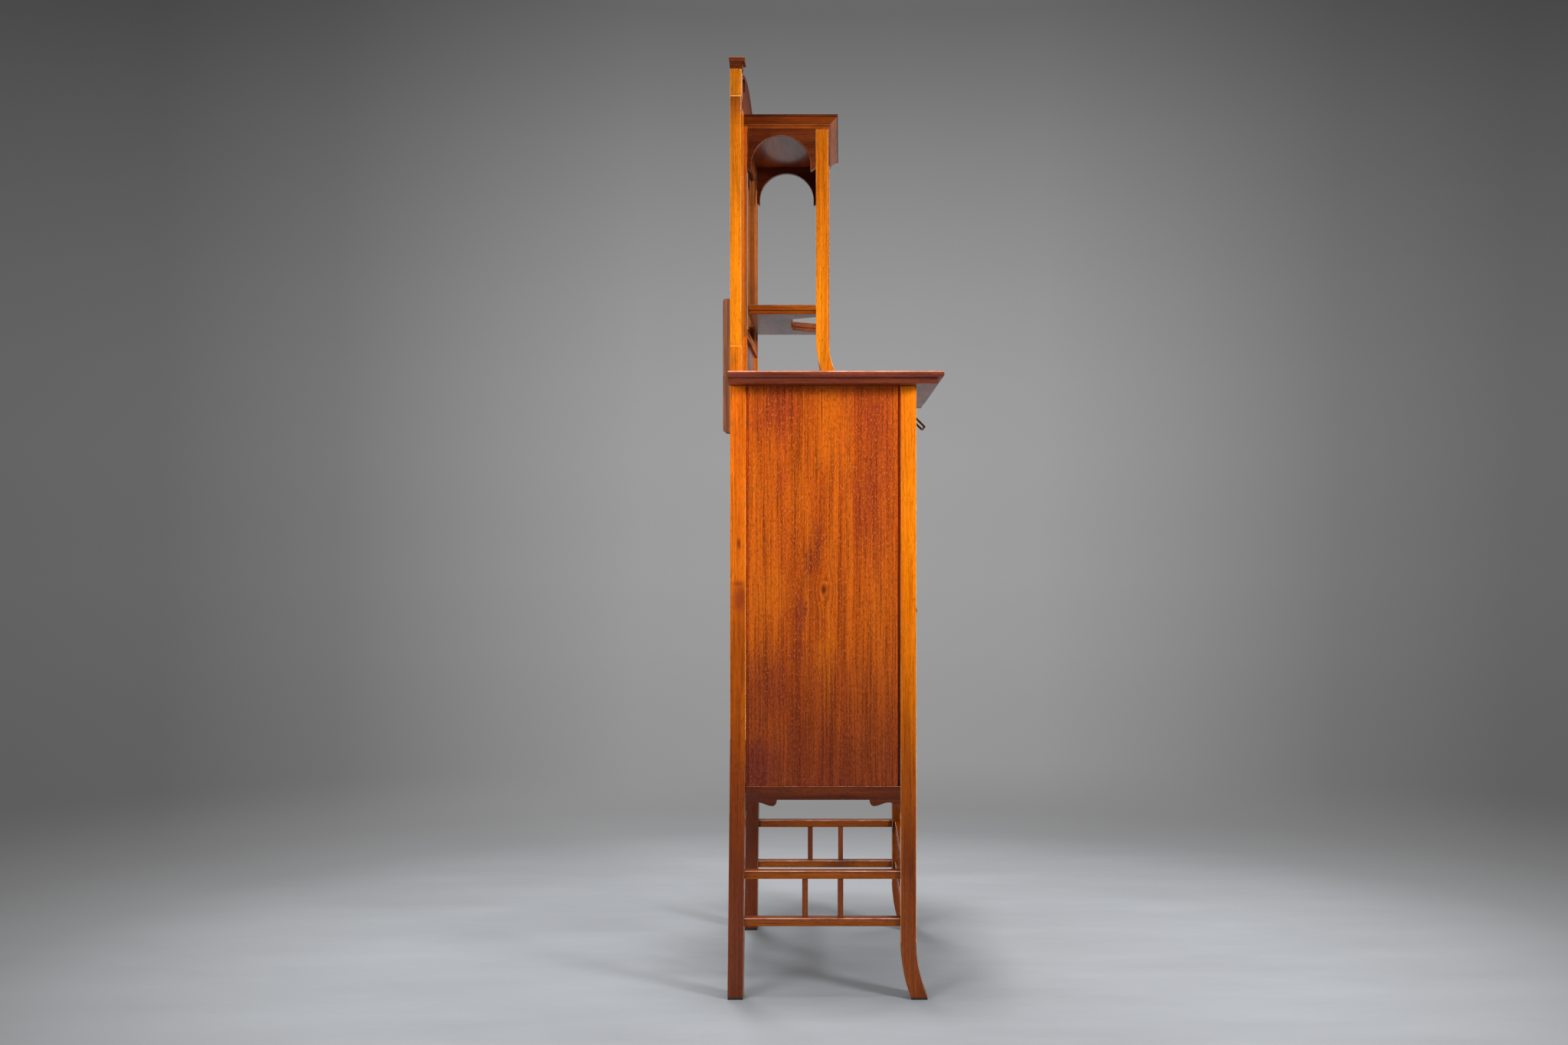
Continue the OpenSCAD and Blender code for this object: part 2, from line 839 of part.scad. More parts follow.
// An arched board with a curved slot at each end, which follows its crest
module pediment() {
    crest_r = (leg_in_x * leg_in_x + crest_bow * crest_bow) / (2 * crest_bow);
    end_r = pierce_h / 2;
    slot_r = crest_r - pierce_rim - end_r;
    outer_x = leg_in_x - pierce_in - end_r;
    ends = [asin((outer_x - pierce_l) / slot_r), asin(outer_x / slot_r)];
    module slot() {
        for (a = ends) {
            translate([slot_r * sin(a), slot_r * cos(a)]) circle(end_r, $fn = 32);
        }
        intersection() {
            difference() {
                circle(slot_r + end_r, $fn = 180);
                circle(slot_r - end_r, $fn = 180);
            }
            polygon([
                [0, 0],
                [2 * crest_r * sin(ends[0]), 2 * crest_r * cos(ends[0])],
                [2 * crest_r * sin(ends[1]), 2 * crest_r * cos(ends[1])]
            ]);
        }
    }
    color(dark_wood) along_y(pediment_y, pediment_y + board_t) difference() {
        intersection() {
            translate([-leg_in_x, canopy_top]) square([2 * leg_in_x, crest_z - canopy_top]);
            translate([0, crest_z - crest_r]) circle(crest_r, $fn = 180);
        }
        translate([0, crest_z - crest_r]) {
            slot();
            mirror([1, 0]) slot();
        }
    }
}

module canopy_board() {
    color(dark_wood) block(
        [-column_out_x, column_front, canopy_z], [column_out_x, frame_back, canopy_top]
    );
}

// The cornice's outline: a band, a bead, an ogee and a top fillet
function cornice_rows() =
    let (band = 5, bead = 2, fillet = 5)
    let (foot = band + 2 * bead, ogee = canopy_t - fillet - foot, low = 5, high = cornice_out - 2)
    concat(
        [[0, 2], [band, 2]],
        nose(band + bead, 3, bead),
        [for (k = [0:6]) [
            foot + ogee * (k / 6 - 0.09 * sin(60 * k)),
            low + (high - low) * (1 - cos(30 * k)) / 2
        ]],
        [[canopy_t - fillet, cornice_out], [canopy_t, cornice_out]]
    );

// The three lengths of cornice, mitred at the front corners
module canopy_cornice() {
    x = column_out_x;
    y = column_front;
    color(dark_wood) difference() {
        moulded_block([-x, y], [x, post_front], canopy_z, cornice_rows(), [1, 1, 1, 0]);
        block([-x, y, canopy_z - 1], [x, post_front + 1, canopy_top + 1]);
    }
}

// The outline of an arched board from u0 to u1: the arch about mid is r wide and rise
// high, and its ends run on below the spring to slanted tips
module arch_outline(u0, u1, mid, r, rise, spring) {
    slant = arch_tip / 2;
    polygon(concat(
        [[u0, canopy_z], [u0, spring - slant]],
        [[mid - r, spring - arch_tip]],
        [for (a = [180:-6:0]) [mid + r * cos(a), spring + rise * sin(a)]],
        [[mid + r, spring - arch_tip]],
        [[u1, spring - slant], [u1, canopy_z]]
    ));
}

module arch_boards() {
    color(dark_wood) pair() along_x(arch_mid_x - arch_t / 2, arch_mid_x + arch_t / 2) {
        arch_outline(column_back, frame_front, arch_mid_y, arch_r, arch_r, arch_spring);
    }
}

module front_valance() {
    y = column_front + column / 2;
    color(dark_wood) along_y(y - arch_t / 2, y + arch_t / 2) {
        arch_outline(-valance_half, valance_half, 0, valance_r, front_arch_rise, valance_spring);
    }
}

module column_body() {
    along_x(column_in_x, column_out_x) {
        swept_outline(column_front, column, slab_top, canopy_z, column_foot_h, column_foot_r);
    }
}

module column_left() {
    color(light_wood) mirror([1, 0, 0]) column_body();
}

module column_right() {
    color(light_wood) column_body();
}

// The display shelf: its arms reach the columns, and their inner edges lean inwards to
// rounded corners, where the middle is cut back
module shelf_outline(inset) {
    r = shelf_round;
    corner_y = column_back + shelf_cut - r;
    lean_run = (corner_y + r * sin(shelf_lean) - column_back) * tan(shelf_lean);
    corner_x = column_out_x - shelf_arm - lean_run - r * cos(shelf_lean);
    x = column_out_x - inset;
    half = concat(
        [[x, frame_front], [x, column_back]],
        [[column_out_x - shelf_arm + inset / cos(shelf_lean), column_back]],
        [for (a = [shelf_lean:15:90]) [corner_x + (r + inset) * cos(a), corner_y + (r + inset) * sin(a)]]
    );
    color(dark_wood) polygon(concat(
        half,
        [for (k = [len(half) - 1:-1:0]) [-half[k][0], half[k][1]]]
    ));
}

module display_shelf() {
    lower_h = shelf_t * 0.4;
    color(dark_wood) {
        translate([0, 0, shelf_z]) linear_extrude(lower_h) shelf_outline(3);
        translate([0, 0, shelf_z + lower_h]) linear_extrude(shelf_t - lower_h) shelf_outline(0);
    }
}

// Battens behind the case

module batten_outline() {
    z0 = case_h - batten_down;
    z1 = slab_top + batten_up;
    y1 = rear_y + batten_t;
    r = batten_round;
    translate([rear_y, z0]) square([batten_t - r, z1 - z0]);
    translate([rear_y, z0 + r]) square([batten_t, z1 - z0 - 2 * r]);
    translate([y1 - r, z0 + r]) circle(r);
    translate([y1 - r, z1 - r]) circle(r);
}

module back_battens() {
    color(raw_wood) pair() difference() {
        along_x(batten_in_x, batten_out_x) batten_outline();
        at_screws() screw_hole();
        at_screws() translate([0, 0, -0.01]) cylinder(h = screw_head_t, r1 = screw_head_r, r2 = screw_r);
    }
}

module batten_screws() {
    color("gray") pair() at_screws() {
        cylinder(h = screw_head_t, r1 = screw_head_r - 0.1, r2 = screw_r);
        cylinder(h = screw_l, r = screw_r);
    }
}

// Drawer

module drawer_front() {
    color(light_wood) difference() {
        block(
            [-drawer_half, face_y, drawer_z + drawer_gap],
            [drawer_half, drawer_box_y, drawer_top - drawer_gap]
        );
        pair() translate([eye_mid_x, face_y - 1, bail_z]) rotate([-90, 0, 0]) {
            cylinder(h = front_t + 2, r = screw_r + pin_gap);
        }
    }
}

module base_slot() {
    x = drawer_side_x - drawer_side_t + base_groove;
    block([-x, drawer_box_y - 1, base_z], [x, drawer_end_y + 1, base_z + drawer_base_t + base_gap]);
}

module drawer_sides() {
    color(raw_wood) difference() {
        pair() block(
            [drawer_side_x - drawer_side_t, drawer_box_y, drawer_box_z],
            [drawer_side_x, drawer_end_y, drawer_box_top]
        );
        base_slot();
    }
}

module drawer_back() {
    x = drawer_side_x - drawer_side_t;
    color(raw_wood) block(
        [-x, drawer_end_y - drawer_side_t, base_z + drawer_base_t],
        [x, drawer_end_y, drawer_box_top - 2]
    );
}

module drawer_bottom() {
    x = drawer_side_x - drawer_side_t + base_groove - base_gap;
    color(raw_wood) block([-x, drawer_box_y, base_z], [x, drawer_end_y, base_z + drawer_base_t]);
}

// Each post: a rosette on the drawer front, an eye for the bail, a stop and a fixing bolt
module bail_posts() {
    nut_r = 4.5;
    nut_t = 3;
    stop_along = 3;
    down = [0, -cos(bail_angle), -sin(bail_angle)];
    under = [0, sin(bail_angle), -cos(bail_angle)];
    stop_at = [eye_out_x - 2, bail_y, bail_z] + down * stop_along + under * (bail_r + stop_r + stop_gap);
    color(brass) pair() difference() {
        union() {
            translate([eye_mid_x, face_y, bail_z]) rotate([90, 0, 0]) {
                cylinder(h = rosette_t, r = rosette_r);
                cylinder(h = bail_stand, r = 3);
            }
            translate([eye_mid_x, face_y, bail_z]) rotate([-90, 0, 0]) {
                cylinder(h = front_t + nut_t, r = screw_r);
                translate([0, 0, front_t]) cylinder(h = nut_t, r = nut_r);
            }
            translate([eye_in_x, bail_y, bail_z]) rotate([0, 90, 0]) cylinder(h = eye_w, r = eye_r);
            translate(stop_at) rotate([0, 90, 0]) cylinder(h = 2 + eye_gap + 2 * bail_r, r = stop_r);
        }
        translate([eye_in_x - 1, bail_y, bail_z]) rotate([0, 90, 0]) {
            cylinder(h = eye_w + 2, r = bail_pin_r + pin_gap);
        }
    }
}

// The bail, drawn hanging straight down from its pivot and then swung to its angle
module drawer_bail() {
    straight = bail_l - bail_bend;
    module half_bail() {
        translate([eye_in_x + 0.5, 0, 0]) rotate([0, 90, 0]) {
            cylinder(h = arm_x - eye_in_x - 0.5, r = bail_pin_r, $fn = 32);
        }
        translate([arm_x, 0, 0]) sphere(bail_r, $fn = 32);
        translate([arm_x, 0, -straight]) cylinder(h = straight, r = bail_r, $fn = 32);
        translate([arm_x - bail_bend, 0, -straight]) rotate([90, 0, 0]) {
            rotate([0, 0, -90]) rotate_extrude(angle = 90, $fn = 48) {
                translate([bail_bend, 0]) circle(bail_r, $fn = 32);
            }
        }
        translate([0, 0, -bail_l]) rotate([0, 90, 0]) {
            cylinder(h = arm_x - bail_bend, r = bail_r, $fn = 32);
        }
    }
    color(brass) translate([0, bail_y, bail_z]) rotate([bail_angle - 90, 0, 0]) pair() half_bail();
}

// Door

module door_stile_body() {
    difference() {
        block([sight_x, face_y, door_z0], [door_half, door_back_y, door_z1]);
        block(
            [sight_x - 1, door_plate_y, sight_z0 - rebate_w],
            [sight_x + rebate_w, door_back_y + 1, sight_z1 + rebate_w]
        );
    }
}

module door_stile_hinge() {
    color(light_wood) difference() {
        door_stile_body();
        for (z = hinge_zs) {
            block(
                [door_half - leaf_t, face_y - 1, z - hinge_h / 2],
                [door_half + 1, leaf_end_y, z + hinge_h / 2]
            );
        }
    }
}

module lock_case() {
    block(
        [-door_half, door_back_y - lock_t, lock_z - lock_h / 2],
        [-door_half + lock_w, door_back_y, lock_z + lock_h / 2]
    );
}

module door_stile_lock() {
    color(light_wood) difference() {
        mirror([1, 0, 0]) door_stile_body();
        lock_case();
        translate([keyhole_x, face_y - 1, lock_z]) rotate([-90, 0, 0]) cylinder(h = door_t, r = keyhole_r);
    }
}

module door_rails() {
    color(light_wood) difference() {
        union() {
            block([-sight_x, face_y, door_z0], [sight_x, door_back_y, sight_z0]);
            block([-sight_x, face_y, sight_z1], [sight_x, door_back_y, door_z1]);
        }
        block(
            [-sight_x - 1, door_plate_y, sight_z0 - rebate_w],
            [sight_x + 1, door_back_y + 1, sight_z1 + rebate_w]
        );
    }
}

module door_mirror() {
    x = sight_x + rebate_w - plate_gap;
    grow = rebate_w - plate_gap;
    color(glass) bevelled_plate(
        [-x, door_plate_y, sight_z0 - grow], [x, door_plate_y + plate_t, sight_z1 + grow]
    );
}

module door_backing() {
    x = sight_x + rebate_w;
    color(raw_wood) block(
        [-x, backing_y, sight_z0 - rebate_w], [x, backing_y + backing_t, sight_z1 + rebate_w]
    );
}

// A third of a hinge's height, counted from 0 at the bottom, drawn as a knuckle and its strip
module hinge_knuckle(z, k, strip_x) {
    third = hinge_h / 3;
    z0 = z - hinge_h / 2 + k * third + (k > 0 ? knuckle_gap / 2 : 0);
    z1 = z - hinge_h / 2 + (k + 1) * third - (k < 2 ? knuckle_gap / 2 : 0);
    translate([hinge_x, hinge_y, z0]) cylinder(h = z1 - z0, r = knuckle_r);
    block([strip_x, hinge_y, z0], [strip_x + leaf_t, leaf_end_y - 1, z1]);
}

module hinge_bores() {
    for (z = hinge_zs) {
        translate([hinge_x, hinge_y, z - hinge_h]) cylinder(h = 2 * hinge_h, r = hinge_pin_r + pin_gap);
    }
}

module hinge_leaves_case() {
    color(brass) difference() {
        for (z = hinge_zs) {
            block(
                [leg_in_x, front_y, z - hinge_h / 2],
                [leg_in_x + leaf_t, leaf_end_y, z + hinge_h / 2]
            );
            hinge_knuckle(z, 0, leg_in_x);
            hinge_knuckle(z, 2, leg_in_x);
        }
        hinge_bores();
    }
}

module hinge_leaves_door() {
    color(brass) difference() {
        for (z = hinge_zs) {
            block(
                [door_half - leaf_t, face_y, z - hinge_h / 2],
                [door_half, leaf_end_y, z + hinge_h / 2]
            );
            hinge_knuckle(z, 1, door_half - leaf_t);
        }
        hinge_bores();
    }
}

module hinge_pins() {
    color(brass) for (z = hinge_zs) {
        translate([hinge_x, hinge_y, z - hinge_h / 2]) {
            cylinder(h = hinge_h, r = hinge_pin_r);
            translate([0, 0, -finial_out]) sphere(finial_r, $fn = 32);
            translate([0, 0, hinge_h + finial_out]) sphere(finial_r, $fn = 32);
        }
    }
}

module lock_body() {
    gap = bolt_gap;
    color(brass) difference() {
        lock_case();
        block(
            [-door_half - 1, bolt_y - bolt_t / 2 - gap, lock_z - bolt_h / 2 - gap],
            [-door_half + bolt_l + 2, bolt_y + bolt_t / 2 + gap, lock_z + bolt_h / 2 + gap]
        );
    }
}

module lock_bolt() {
    color(brass) block(
        [-door_half + bolt_gap, bolt_y - bolt_t / 2, lock_z - bolt_h / 2],
        [-door_half + bolt_gap + bolt_l, bolt_y + bolt_t / 2, lock_z + bolt_h / 2]
    );
}

module escutcheon() {
    color(brass) translate([keyhole_x, face_y, lock_z]) rotate([90, 0, 0]) difference() {
        union() {
            cylinder(h = plate_disc_t, r = plate_disc_r);
            cylinder(h = boss_out, r = boss_r);
        }
        translate([0, 0, -1]) cylinder(h = boss_out + 2, r = keyhole_r);
    }
}

leg_front_left();
leg_front_right();
leg_rear_left();
leg_rear_right();
foot_pads();
side_panel_left();
side_panel_right();
side_apron_left();
side_apron_right();
front_apron();
side_upper_rails();
side_lower_rails();
front_upper_rail();
front_lower_rail();
side_spindles();
front_spindles();
bottom_board();
back_panel();
top_front_rail();
divider_rail();
drawer_runners();
inner_shelves();
shelf_cleats();
top_slab();
post_left();
post_right();
post_caps();
side_boards();
mirror_stiles();
mirror_rails();
mirror_plate();
mirror_backboard();
lower_panel();
pediment();
canopy_board();
canopy_cornice();
arch_boards();
front_valance();
column_left();
column_right();
display_shelf();
back_battens();
batten_screws();
drawer_front();
drawer_sides();
drawer_back();
drawer_bottom();
bail_posts();
drawer_bail();
door_stile_hinge();
door_stile_lock();
door_rails();
door_mirror();
door_backing();
hinge_leaves_case();
hinge_leaves_door();
hinge_pins();
lock_body();
lock_bolt();
escutcheon();
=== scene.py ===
# %% [markdown]
# # A narrow mirrored cabinet in mahogany
# The cabinet stands on tall swept legs. A door with a mirror and one drawer close its case, and
# its top carries a mirror between two posts, under a canopy on two columns. Its frame comes from
# the CAD model: each piece of wood here takes the place of one solid there, and rides on the same
# body, so the drawer, its handle, the door and the lock's bolt move as they do there.
# All sizes below are in millimetres, from the floor up and from the middle out. The front is -Y.

# %% Load the cabinet's frame
import math

import bmesh
import bpy
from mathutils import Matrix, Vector


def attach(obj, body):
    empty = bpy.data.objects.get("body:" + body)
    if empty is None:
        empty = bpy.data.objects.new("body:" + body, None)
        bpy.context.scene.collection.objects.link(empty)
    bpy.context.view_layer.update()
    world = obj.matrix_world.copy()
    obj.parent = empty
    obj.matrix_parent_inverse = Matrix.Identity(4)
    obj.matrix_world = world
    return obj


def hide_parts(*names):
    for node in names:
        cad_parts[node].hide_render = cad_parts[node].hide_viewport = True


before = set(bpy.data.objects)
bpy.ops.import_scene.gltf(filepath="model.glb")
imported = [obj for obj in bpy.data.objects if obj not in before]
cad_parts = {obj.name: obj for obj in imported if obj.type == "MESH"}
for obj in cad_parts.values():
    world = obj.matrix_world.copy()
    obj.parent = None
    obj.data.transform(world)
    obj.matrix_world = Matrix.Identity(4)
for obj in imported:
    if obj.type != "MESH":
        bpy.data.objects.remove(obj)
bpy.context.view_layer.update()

MM = 0.001
LEG, LEG_IN, LEG_OUT = 30, 191, 221
FRONT, REAR = -161, 197
RAIL_FACE, FACE, FACE_BACK = -156, -158, -138
SOLE, APRON_TOP, CASE_TOP, TOP_FACE = 4, 410, 1180, 1203
FRAME_FOOT, CANOPY_FOOT, CANOPY_TOP, CAP_FOOT = 1283, 1698, 1721, 1789

# %% [markdown]
# ## The camera
# The photograph looks square at the cabinet's side, from half its height and about 2.4 m away.
# Its optical axis doesn't lie in the middle of the picture. A camera could be turned a little to
# copy that, but then upright lines would lean, so the lens is shifted sideways instead.

# %% Place the camera
lens_view = bpy.data.cameras.new("side_camera")
lens_view.lens = 28.83
lens_view.sensor_width = 36
lens_view.shift_x = -0.0364
camera = bpy.data.objects.new("side_camera", lens_view)
bpy.context.collection.objects.link(camera)
camera.location = (-2.632, -0.0164, 0.917)
camera.rotation_euler = (math.radians(90), 0, math.radians(-90))
bpy.context.scene.camera = camera
print("camera at", tuple(round(v, 3) for v in camera.location))

# %% [markdown]
# ## Nodes for the finishes
# Every finish is made of nodes, so that it has grain, pores and gloss at their real size. Wiring
# each node by hand in code is long, so one helper adds a node and fills its sockets: a value that
# is itself a socket is linked, and any other is set. A colour is one grey value, or red, green
# and blue. The helpers work on the finish in hand, so it needn't be named each time.

# %% Helpers for nodes
def take_in_hand(owner):
    """Empties the nodes of a material or world, and all helpers then work on them"""
    global tree
    owner.use_nodes = True
    tree = owner.node_tree
    tree.nodes.clear()
    return owner


def full(colour):
    """A colour with its alpha"""
    return (colour, colour, colour, 1) if isinstance(colour, (int, float)) else (*colour, 1)


def fill(socket, value):
    if isinstance(value, bpy.types.NodeSocket):
        tree.links.new(value, socket)
    elif value is not None:
        socket.default_value = full(value) if socket.type == "RGBA" else value


def add_node(kind, *in_order, out=0, **by_name):
    """Adds a node and returns one of its outputs. Sockets are filled in their order or by name,
    and names in small letters are the node's own settings"""
    made = tree.nodes.new("ShaderNode" + kind)
    for name, value in by_name.items():
        if name.islower():
            setattr(made, name, value)
        else:
            fill(made.inputs[name.replace("_", " ")], value)
    for socket, value in zip(made.inputs, in_order):
        fill(socket, value)
    return made.outputs[out] if made.outputs else None


def place_in():
    return add_node("TexCoord", out="Object")


def part_of(vector, axis):
    return add_node("SeparateXYZ", vector, out=axis)


def numbers(operation, *values):
    return add_node("Math", *values, operation=operation)


def vectors(operation, *values):
    out = "Value" if operation in ("LENGTH", "DOT_PRODUCT") else "Vector"
    return add_node("VectorMath", *values, operation=operation, out=out)


def spread(value, low, high, start=0.0, end=1.0, curve="SMOOTHSTEP"):
    """Turns a value's way from low to high into a way from start to end"""
    return add_node("MapRange", value, low, high, start, end, interpolation_type=curve)


def mix_colours(share, first, second, blend="MIX"):
    return add_node("Mix", share, *[None] * 5, first, second, out=2, data_type="RGBA", blend_type=blend)


def ramp(share, *stops):
    made = add_node("ValToRGB", share)
    points = made.node.color_ramp.elements
    while len(points) < len(stops):
        points.new(0.5)
    for point, (place, colour) in zip(points, stops):
        point.position = place
        point.color = full(colour)
    return made


def grained(grain, across, along, detail, rough, swirl=0.0, shift=(0, 0, 0), place=None, out=0):
    """Noise that is squeezed across the grain and drawn out along it"""
    scale = [across, across, across]
    scale["XYZ".index(grain)] = along
    laid = add_node("Mapping", place or place_in(), Scale=scale, Location=shift)
    return add_node(
        "TexNoise", laid, out=out, Scale=1.0, Detail=detail, Roughness=rough, Distortion=swirl
    )


def new_finish(name):
    return take_in_hand(bpy.data.materials.new(name))


def dress(relief=None, **sockets):
    """Ends a finish with its surface. A relief is a height, its strength and its depth in metres"""
    if relief:
        height, strength, depth = relief
        sockets["Normal"] = add_node("Bump", Height=height, Strength=strength, Distance=depth)
    add_node("OutputMaterial", add_node("BsdfPrincipled", **sockets))


print("node helpers ready")

# %% [markdown]
# ## Polished mahogany
# Mahogany shows broad light and dark bands, fine lines, and short dark pores that all run with
# the grain, under a clear shellac polish. A wave texture would give bands that repeat too evenly,
# so each scale is its own noise, drawn out along the grain. A thin coat gives the polish its
# gloss, and a faint bump lets the pores break the highlight.

# %% Helpers for tones and marks
def tone_by_height(place, colour, heights):
    """Multiplies the colour by tones that are given at heights up to 2000 mm"""
    share = numbers("MULTIPLY", part_of(place, "Z"), 0.5)
    tones = ramp(share, *[(z / 2000, tone) for z, *tone in heights])
    return mix_colours(1.0, colour, tones, "MULTIPLY")


def mark(place, colour, middle, reach, tone, share, ragged=0.35):
    """Stains the wood in a soft oval. Middle and reach are Y and Z in millimetres"""
    (y, z), (wide, tall) = middle, reach
    offset = add_node(
        "Mapping", place, vector_type="TEXTURE", Location=(0, y * MM, z * MM),
        Scale=(1e6, wide * MM, tall * MM),
    )
    torn = grained("Z", 46, 10, 6, 0.75, shift=(y * 0.01, z * 0.01, 0))
    edge = numbers("MULTIPLY_ADD", torn, -2 * ragged, vectors("LENGTH", offset))
    return mix_colours(spread(edge, -0.2, 1.05 - ragged, share, 0.0), colour, tone)


print("tone helpers ready")

# %% The mahogany finish
def mahogany(
    name, grain, tones, mottle, shift=(0, 0, 0), mottle_share=0.6, heights=(), marks=(),
    gloss=0.15, shine=0.3, rough=(0.20, 0.33),
):
    finish = new_finish(name)
    place = place_in()
    bands = grained(grain, 19, 1.2, 5, 0.6, 0.5, shift)
    colour = ramp(bands, *zip((0.32, 0.45, 0.56, 0.70), tones))
    clouds = grained(grain, 11, 3.4, 4, 0.6, 0.8, shift)
    colour = mix_colours(ramp(clouds, (0.48, 0), (0.66, mottle_share)), colour, mottle)
    for stain in marks:
        colour = mark(place, colour, *stain)
    lines = ramp(grained(grain, 300, 8, 5, 0.7, 0, shift), (0.34, 0.584), (0.49, 1.0), (0.66, 1.26))
    colour = mix_colours(0.9, colour, lines, "MULTIPLY")
    pores = ramp(grained(grain, 760, 90, 3, 0.6, 0, shift), (0.54, 0), (0.66, 0.546))
    colour = mix_colours(pores, colour, [0.42 * v for v in tones[0]])
    if heights:
        colour = tone_by_height(place, colour, heights)
    wear = grained(grain, 30, 9, 4, 0.6, 0, shift)
    dress(
        (mix_colours(0.5, lines, pores, "SUBTRACT"), 0.2, 0.0007), Base_Color=colour,
        Roughness=ramp(wear, *zip((0.3, 0.7), rough)), Specular_IOR_Level=shine,
        Coat_Weight=gloss, Coat_Roughness=0.14,
    )
    return finish


def each_way(axes, maker, name, *settings, **others):
    """The same finish with its grain along each of the axes"""
    return {axis: maker(f"{name}_{axis.lower()}", axis, *settings, **others) for axis in axes}


golden_tones = (0.56, 0.13, 0.003), (0.76, 0.19, 0.003), (0.90, 0.238, 0.004), (0.97, 0.285, 0.006)
golden_mottle = (0.60, 0.12, 0.004)
golden = each_way(
    "XZ", mahogany, "golden_mahogany", golden_tones, golden_mottle, mottle_share=0.4
)
print("golden finishes", [f.name for f in golden.values()])

# %% [markdown]
# ## Legs, posts and rails
# The same golden wood changes along its height on the real cabinet. It is brightest round the
# top of the case and the foot of the posts, and dark brown near the floor. That is partly the
# polish gone dark low down and partly painted light: the tones set by height paint how the light
# falls off towards the floor and towards the canopy. Each leg also has its own marks: the rear one
# has a small knot and a darker stretch below it. So legs, posts and gallery rails have finishes of
# their own, with tones set by height, and stains set by place.

# %% The finishes of legs, posts and rails
leg_tones = (0.52, 0.096, 0.004), (0.72, 0.14, 0.005), (0.86, 0.18, 0.006), (0.95, 0.235, 0.008)
leg_mottle = (0.56, 0.10, 0.006)
# Its tones by height are partly painted light: brighter towards the top of the case, dark near the
# floor.
front_leg_golden = mahogany(
    "front_leg_mahogany", "Z", golden_tones, golden_mottle, (0.3, 0.1, 0.2), 0.35,
    heights=[
        (40, 0.24, 0.18, 0.2), (250, 0.24, 0.18, 0.2), (430, 0.41, 0.34, 0.1), (570, 0.63, 0.55, 0.1),
        (760, 0.94, 0.82, 0.2), (960, 1.22, 1.20, 0.6), (1180, 1.18, 1.02, 0.8),
    ],
)
# Its tones by height are partly painted light too: brighter towards the top of the case, dark near the
# floor.
rear_leg_golden = mahogany(
    "rear_leg_mahogany", "Z", leg_tones, leg_mottle, (0.6, 0.7, 0.2), 0.5,
    heights=[
        (40, 0.18, 0.15, 0.3), (250, 0.18, 0.145, 0.3), (430, 0.28, 0.23, 0.2), (560, 0.47, 0.44, 0.2),
        (700, 0.58, 0.56, 0.5), (840, 0.94, 0.96, 0.8), (1000, 1.18, 1.14, 0.8), (1180, 1.14, 1.06, 0.8),
    ],
    marks=[
        ((180, 877), (5, 14), (0.26, 0.034, 0.008), 0.9),
        ((178, 772), (20, 42), (0.38, 0.055, 0.012), 0.9),
        ((180, 800), (16, 7), (0.26, 0.036, 0.008), 0.6),
        ((174, 640), (6, 60), (0.45, 0.075, 0.006), 0.5),
    ],
)
# Its tones by height are painted light and shade: brightest just over the foot block, darker up the
# shaft, with a dark band under the head block.
post_golden = mahogany(
    "post_mahogany", "Z", golden_tones, golden_mottle, (0.1, 0.5, 0.9), 0.3,
    heights=[
        (1203, 1.10, 1.00, 1), (1250, 1.16, 1.10, 1), (1275, 1.34, 1.46, 1), (1420, 1.16, 1.18, 0.7),
        (1560, 0.82, 0.80, 0.6), (1680, 0.78, 0.76, 0.6), (1712, 0.50, 0.46, 1), (1736, 0.34, 0.31, 1),
        (1738, 0.80, 0.90, 1), (1789, 0.84, 0.94, 1),
    ],
    marks=[((190, 1228), (9, 10), (0.34, 0.13, 0.02), 0.55)],
)
# Its tones by height are painted light: brightest low on the column, darker towards the canopy.
column_golden = mahogany(
    "column_mahogany", "Z", golden_tones, golden_mottle, (0.8, 0.2, 0.3), 0.35,
    heights=[
        (1203, 1.02, 1.06, 1), (1330, 1.12, 1.16, 1), (1480, 0.81, 0.77, 0.6), (1690, 0.77, 0.71, 0.6),
    ],
)
# The rails and spindles near the floor are darkened by their tones by height, which is partly painted
# shade.
rail_golden = each_way(
    "XY", mahogany, "rail_mahogany", leg_tones, leg_mottle, (0.7, 0.2, 0.4),
    heights=[(100, 0.26, 0.28, 0.1), (260, 0.33, 0.34, 0.1)],
)
rail_golden["Z"] = mahogany(
    "spindle_mahogany", "Z", leg_tones, leg_mottle, (0.7, 0.2, 0.4), heights=[(100, 0.18, 0.18, 0.3)]
)
print("legs, posts and rails ready")

# %% [markdown]
# ## Worn and highlit arrises
# A thin pale line runs along almost every edge of the real cabinet. It is partly where hands and
# dusters have rubbed the polish off, and partly the light that the rounded arris catches. A shader
# could find edges by itself, but instead the narrow faces that the bevels make are given a paler
# finish of their own, which paints that highlight as well as the wear.

# %% The worn and highlit finishes
def worn_and_highlit(name, pale, polished):
    finish = new_finish(name)
    patchy = grained("Z", 26, 26, 4, 0.65)
    dress(
        (patchy, 0.12, 0.0006), Base_Color=ramp(patchy, (0.40, polished), (0.62, pale)),
        Roughness=ramp(patchy, (0.3, 0.36), (0.7, 0.5)), Specular_IOR_Level=0.4,
    )
    return finish


# Pale finishes for the arrises: rubbed polish with a painted highlight over it.
highlit_wear_golden = worn_and_highlit("highlit_wear_golden", (0.95, 0.46, 0.15), (0.90, 0.27, 0.02))
highlit_wear_brown = worn_and_highlit("highlit_wear_brown", (0.36, 0.145, 0.060), (0.22, 0.060, 0.012))
highlit_wear_red = worn_and_highlit("highlit_wear_red", (0.70, 0.330, 0.235), (0.42, 0.130, 0.075))
bead_brown_highlit = worn_and_highlit("bead_brown_highlit", (0.32, 0.085, 0.016), (0.19, 0.042, 0.006))


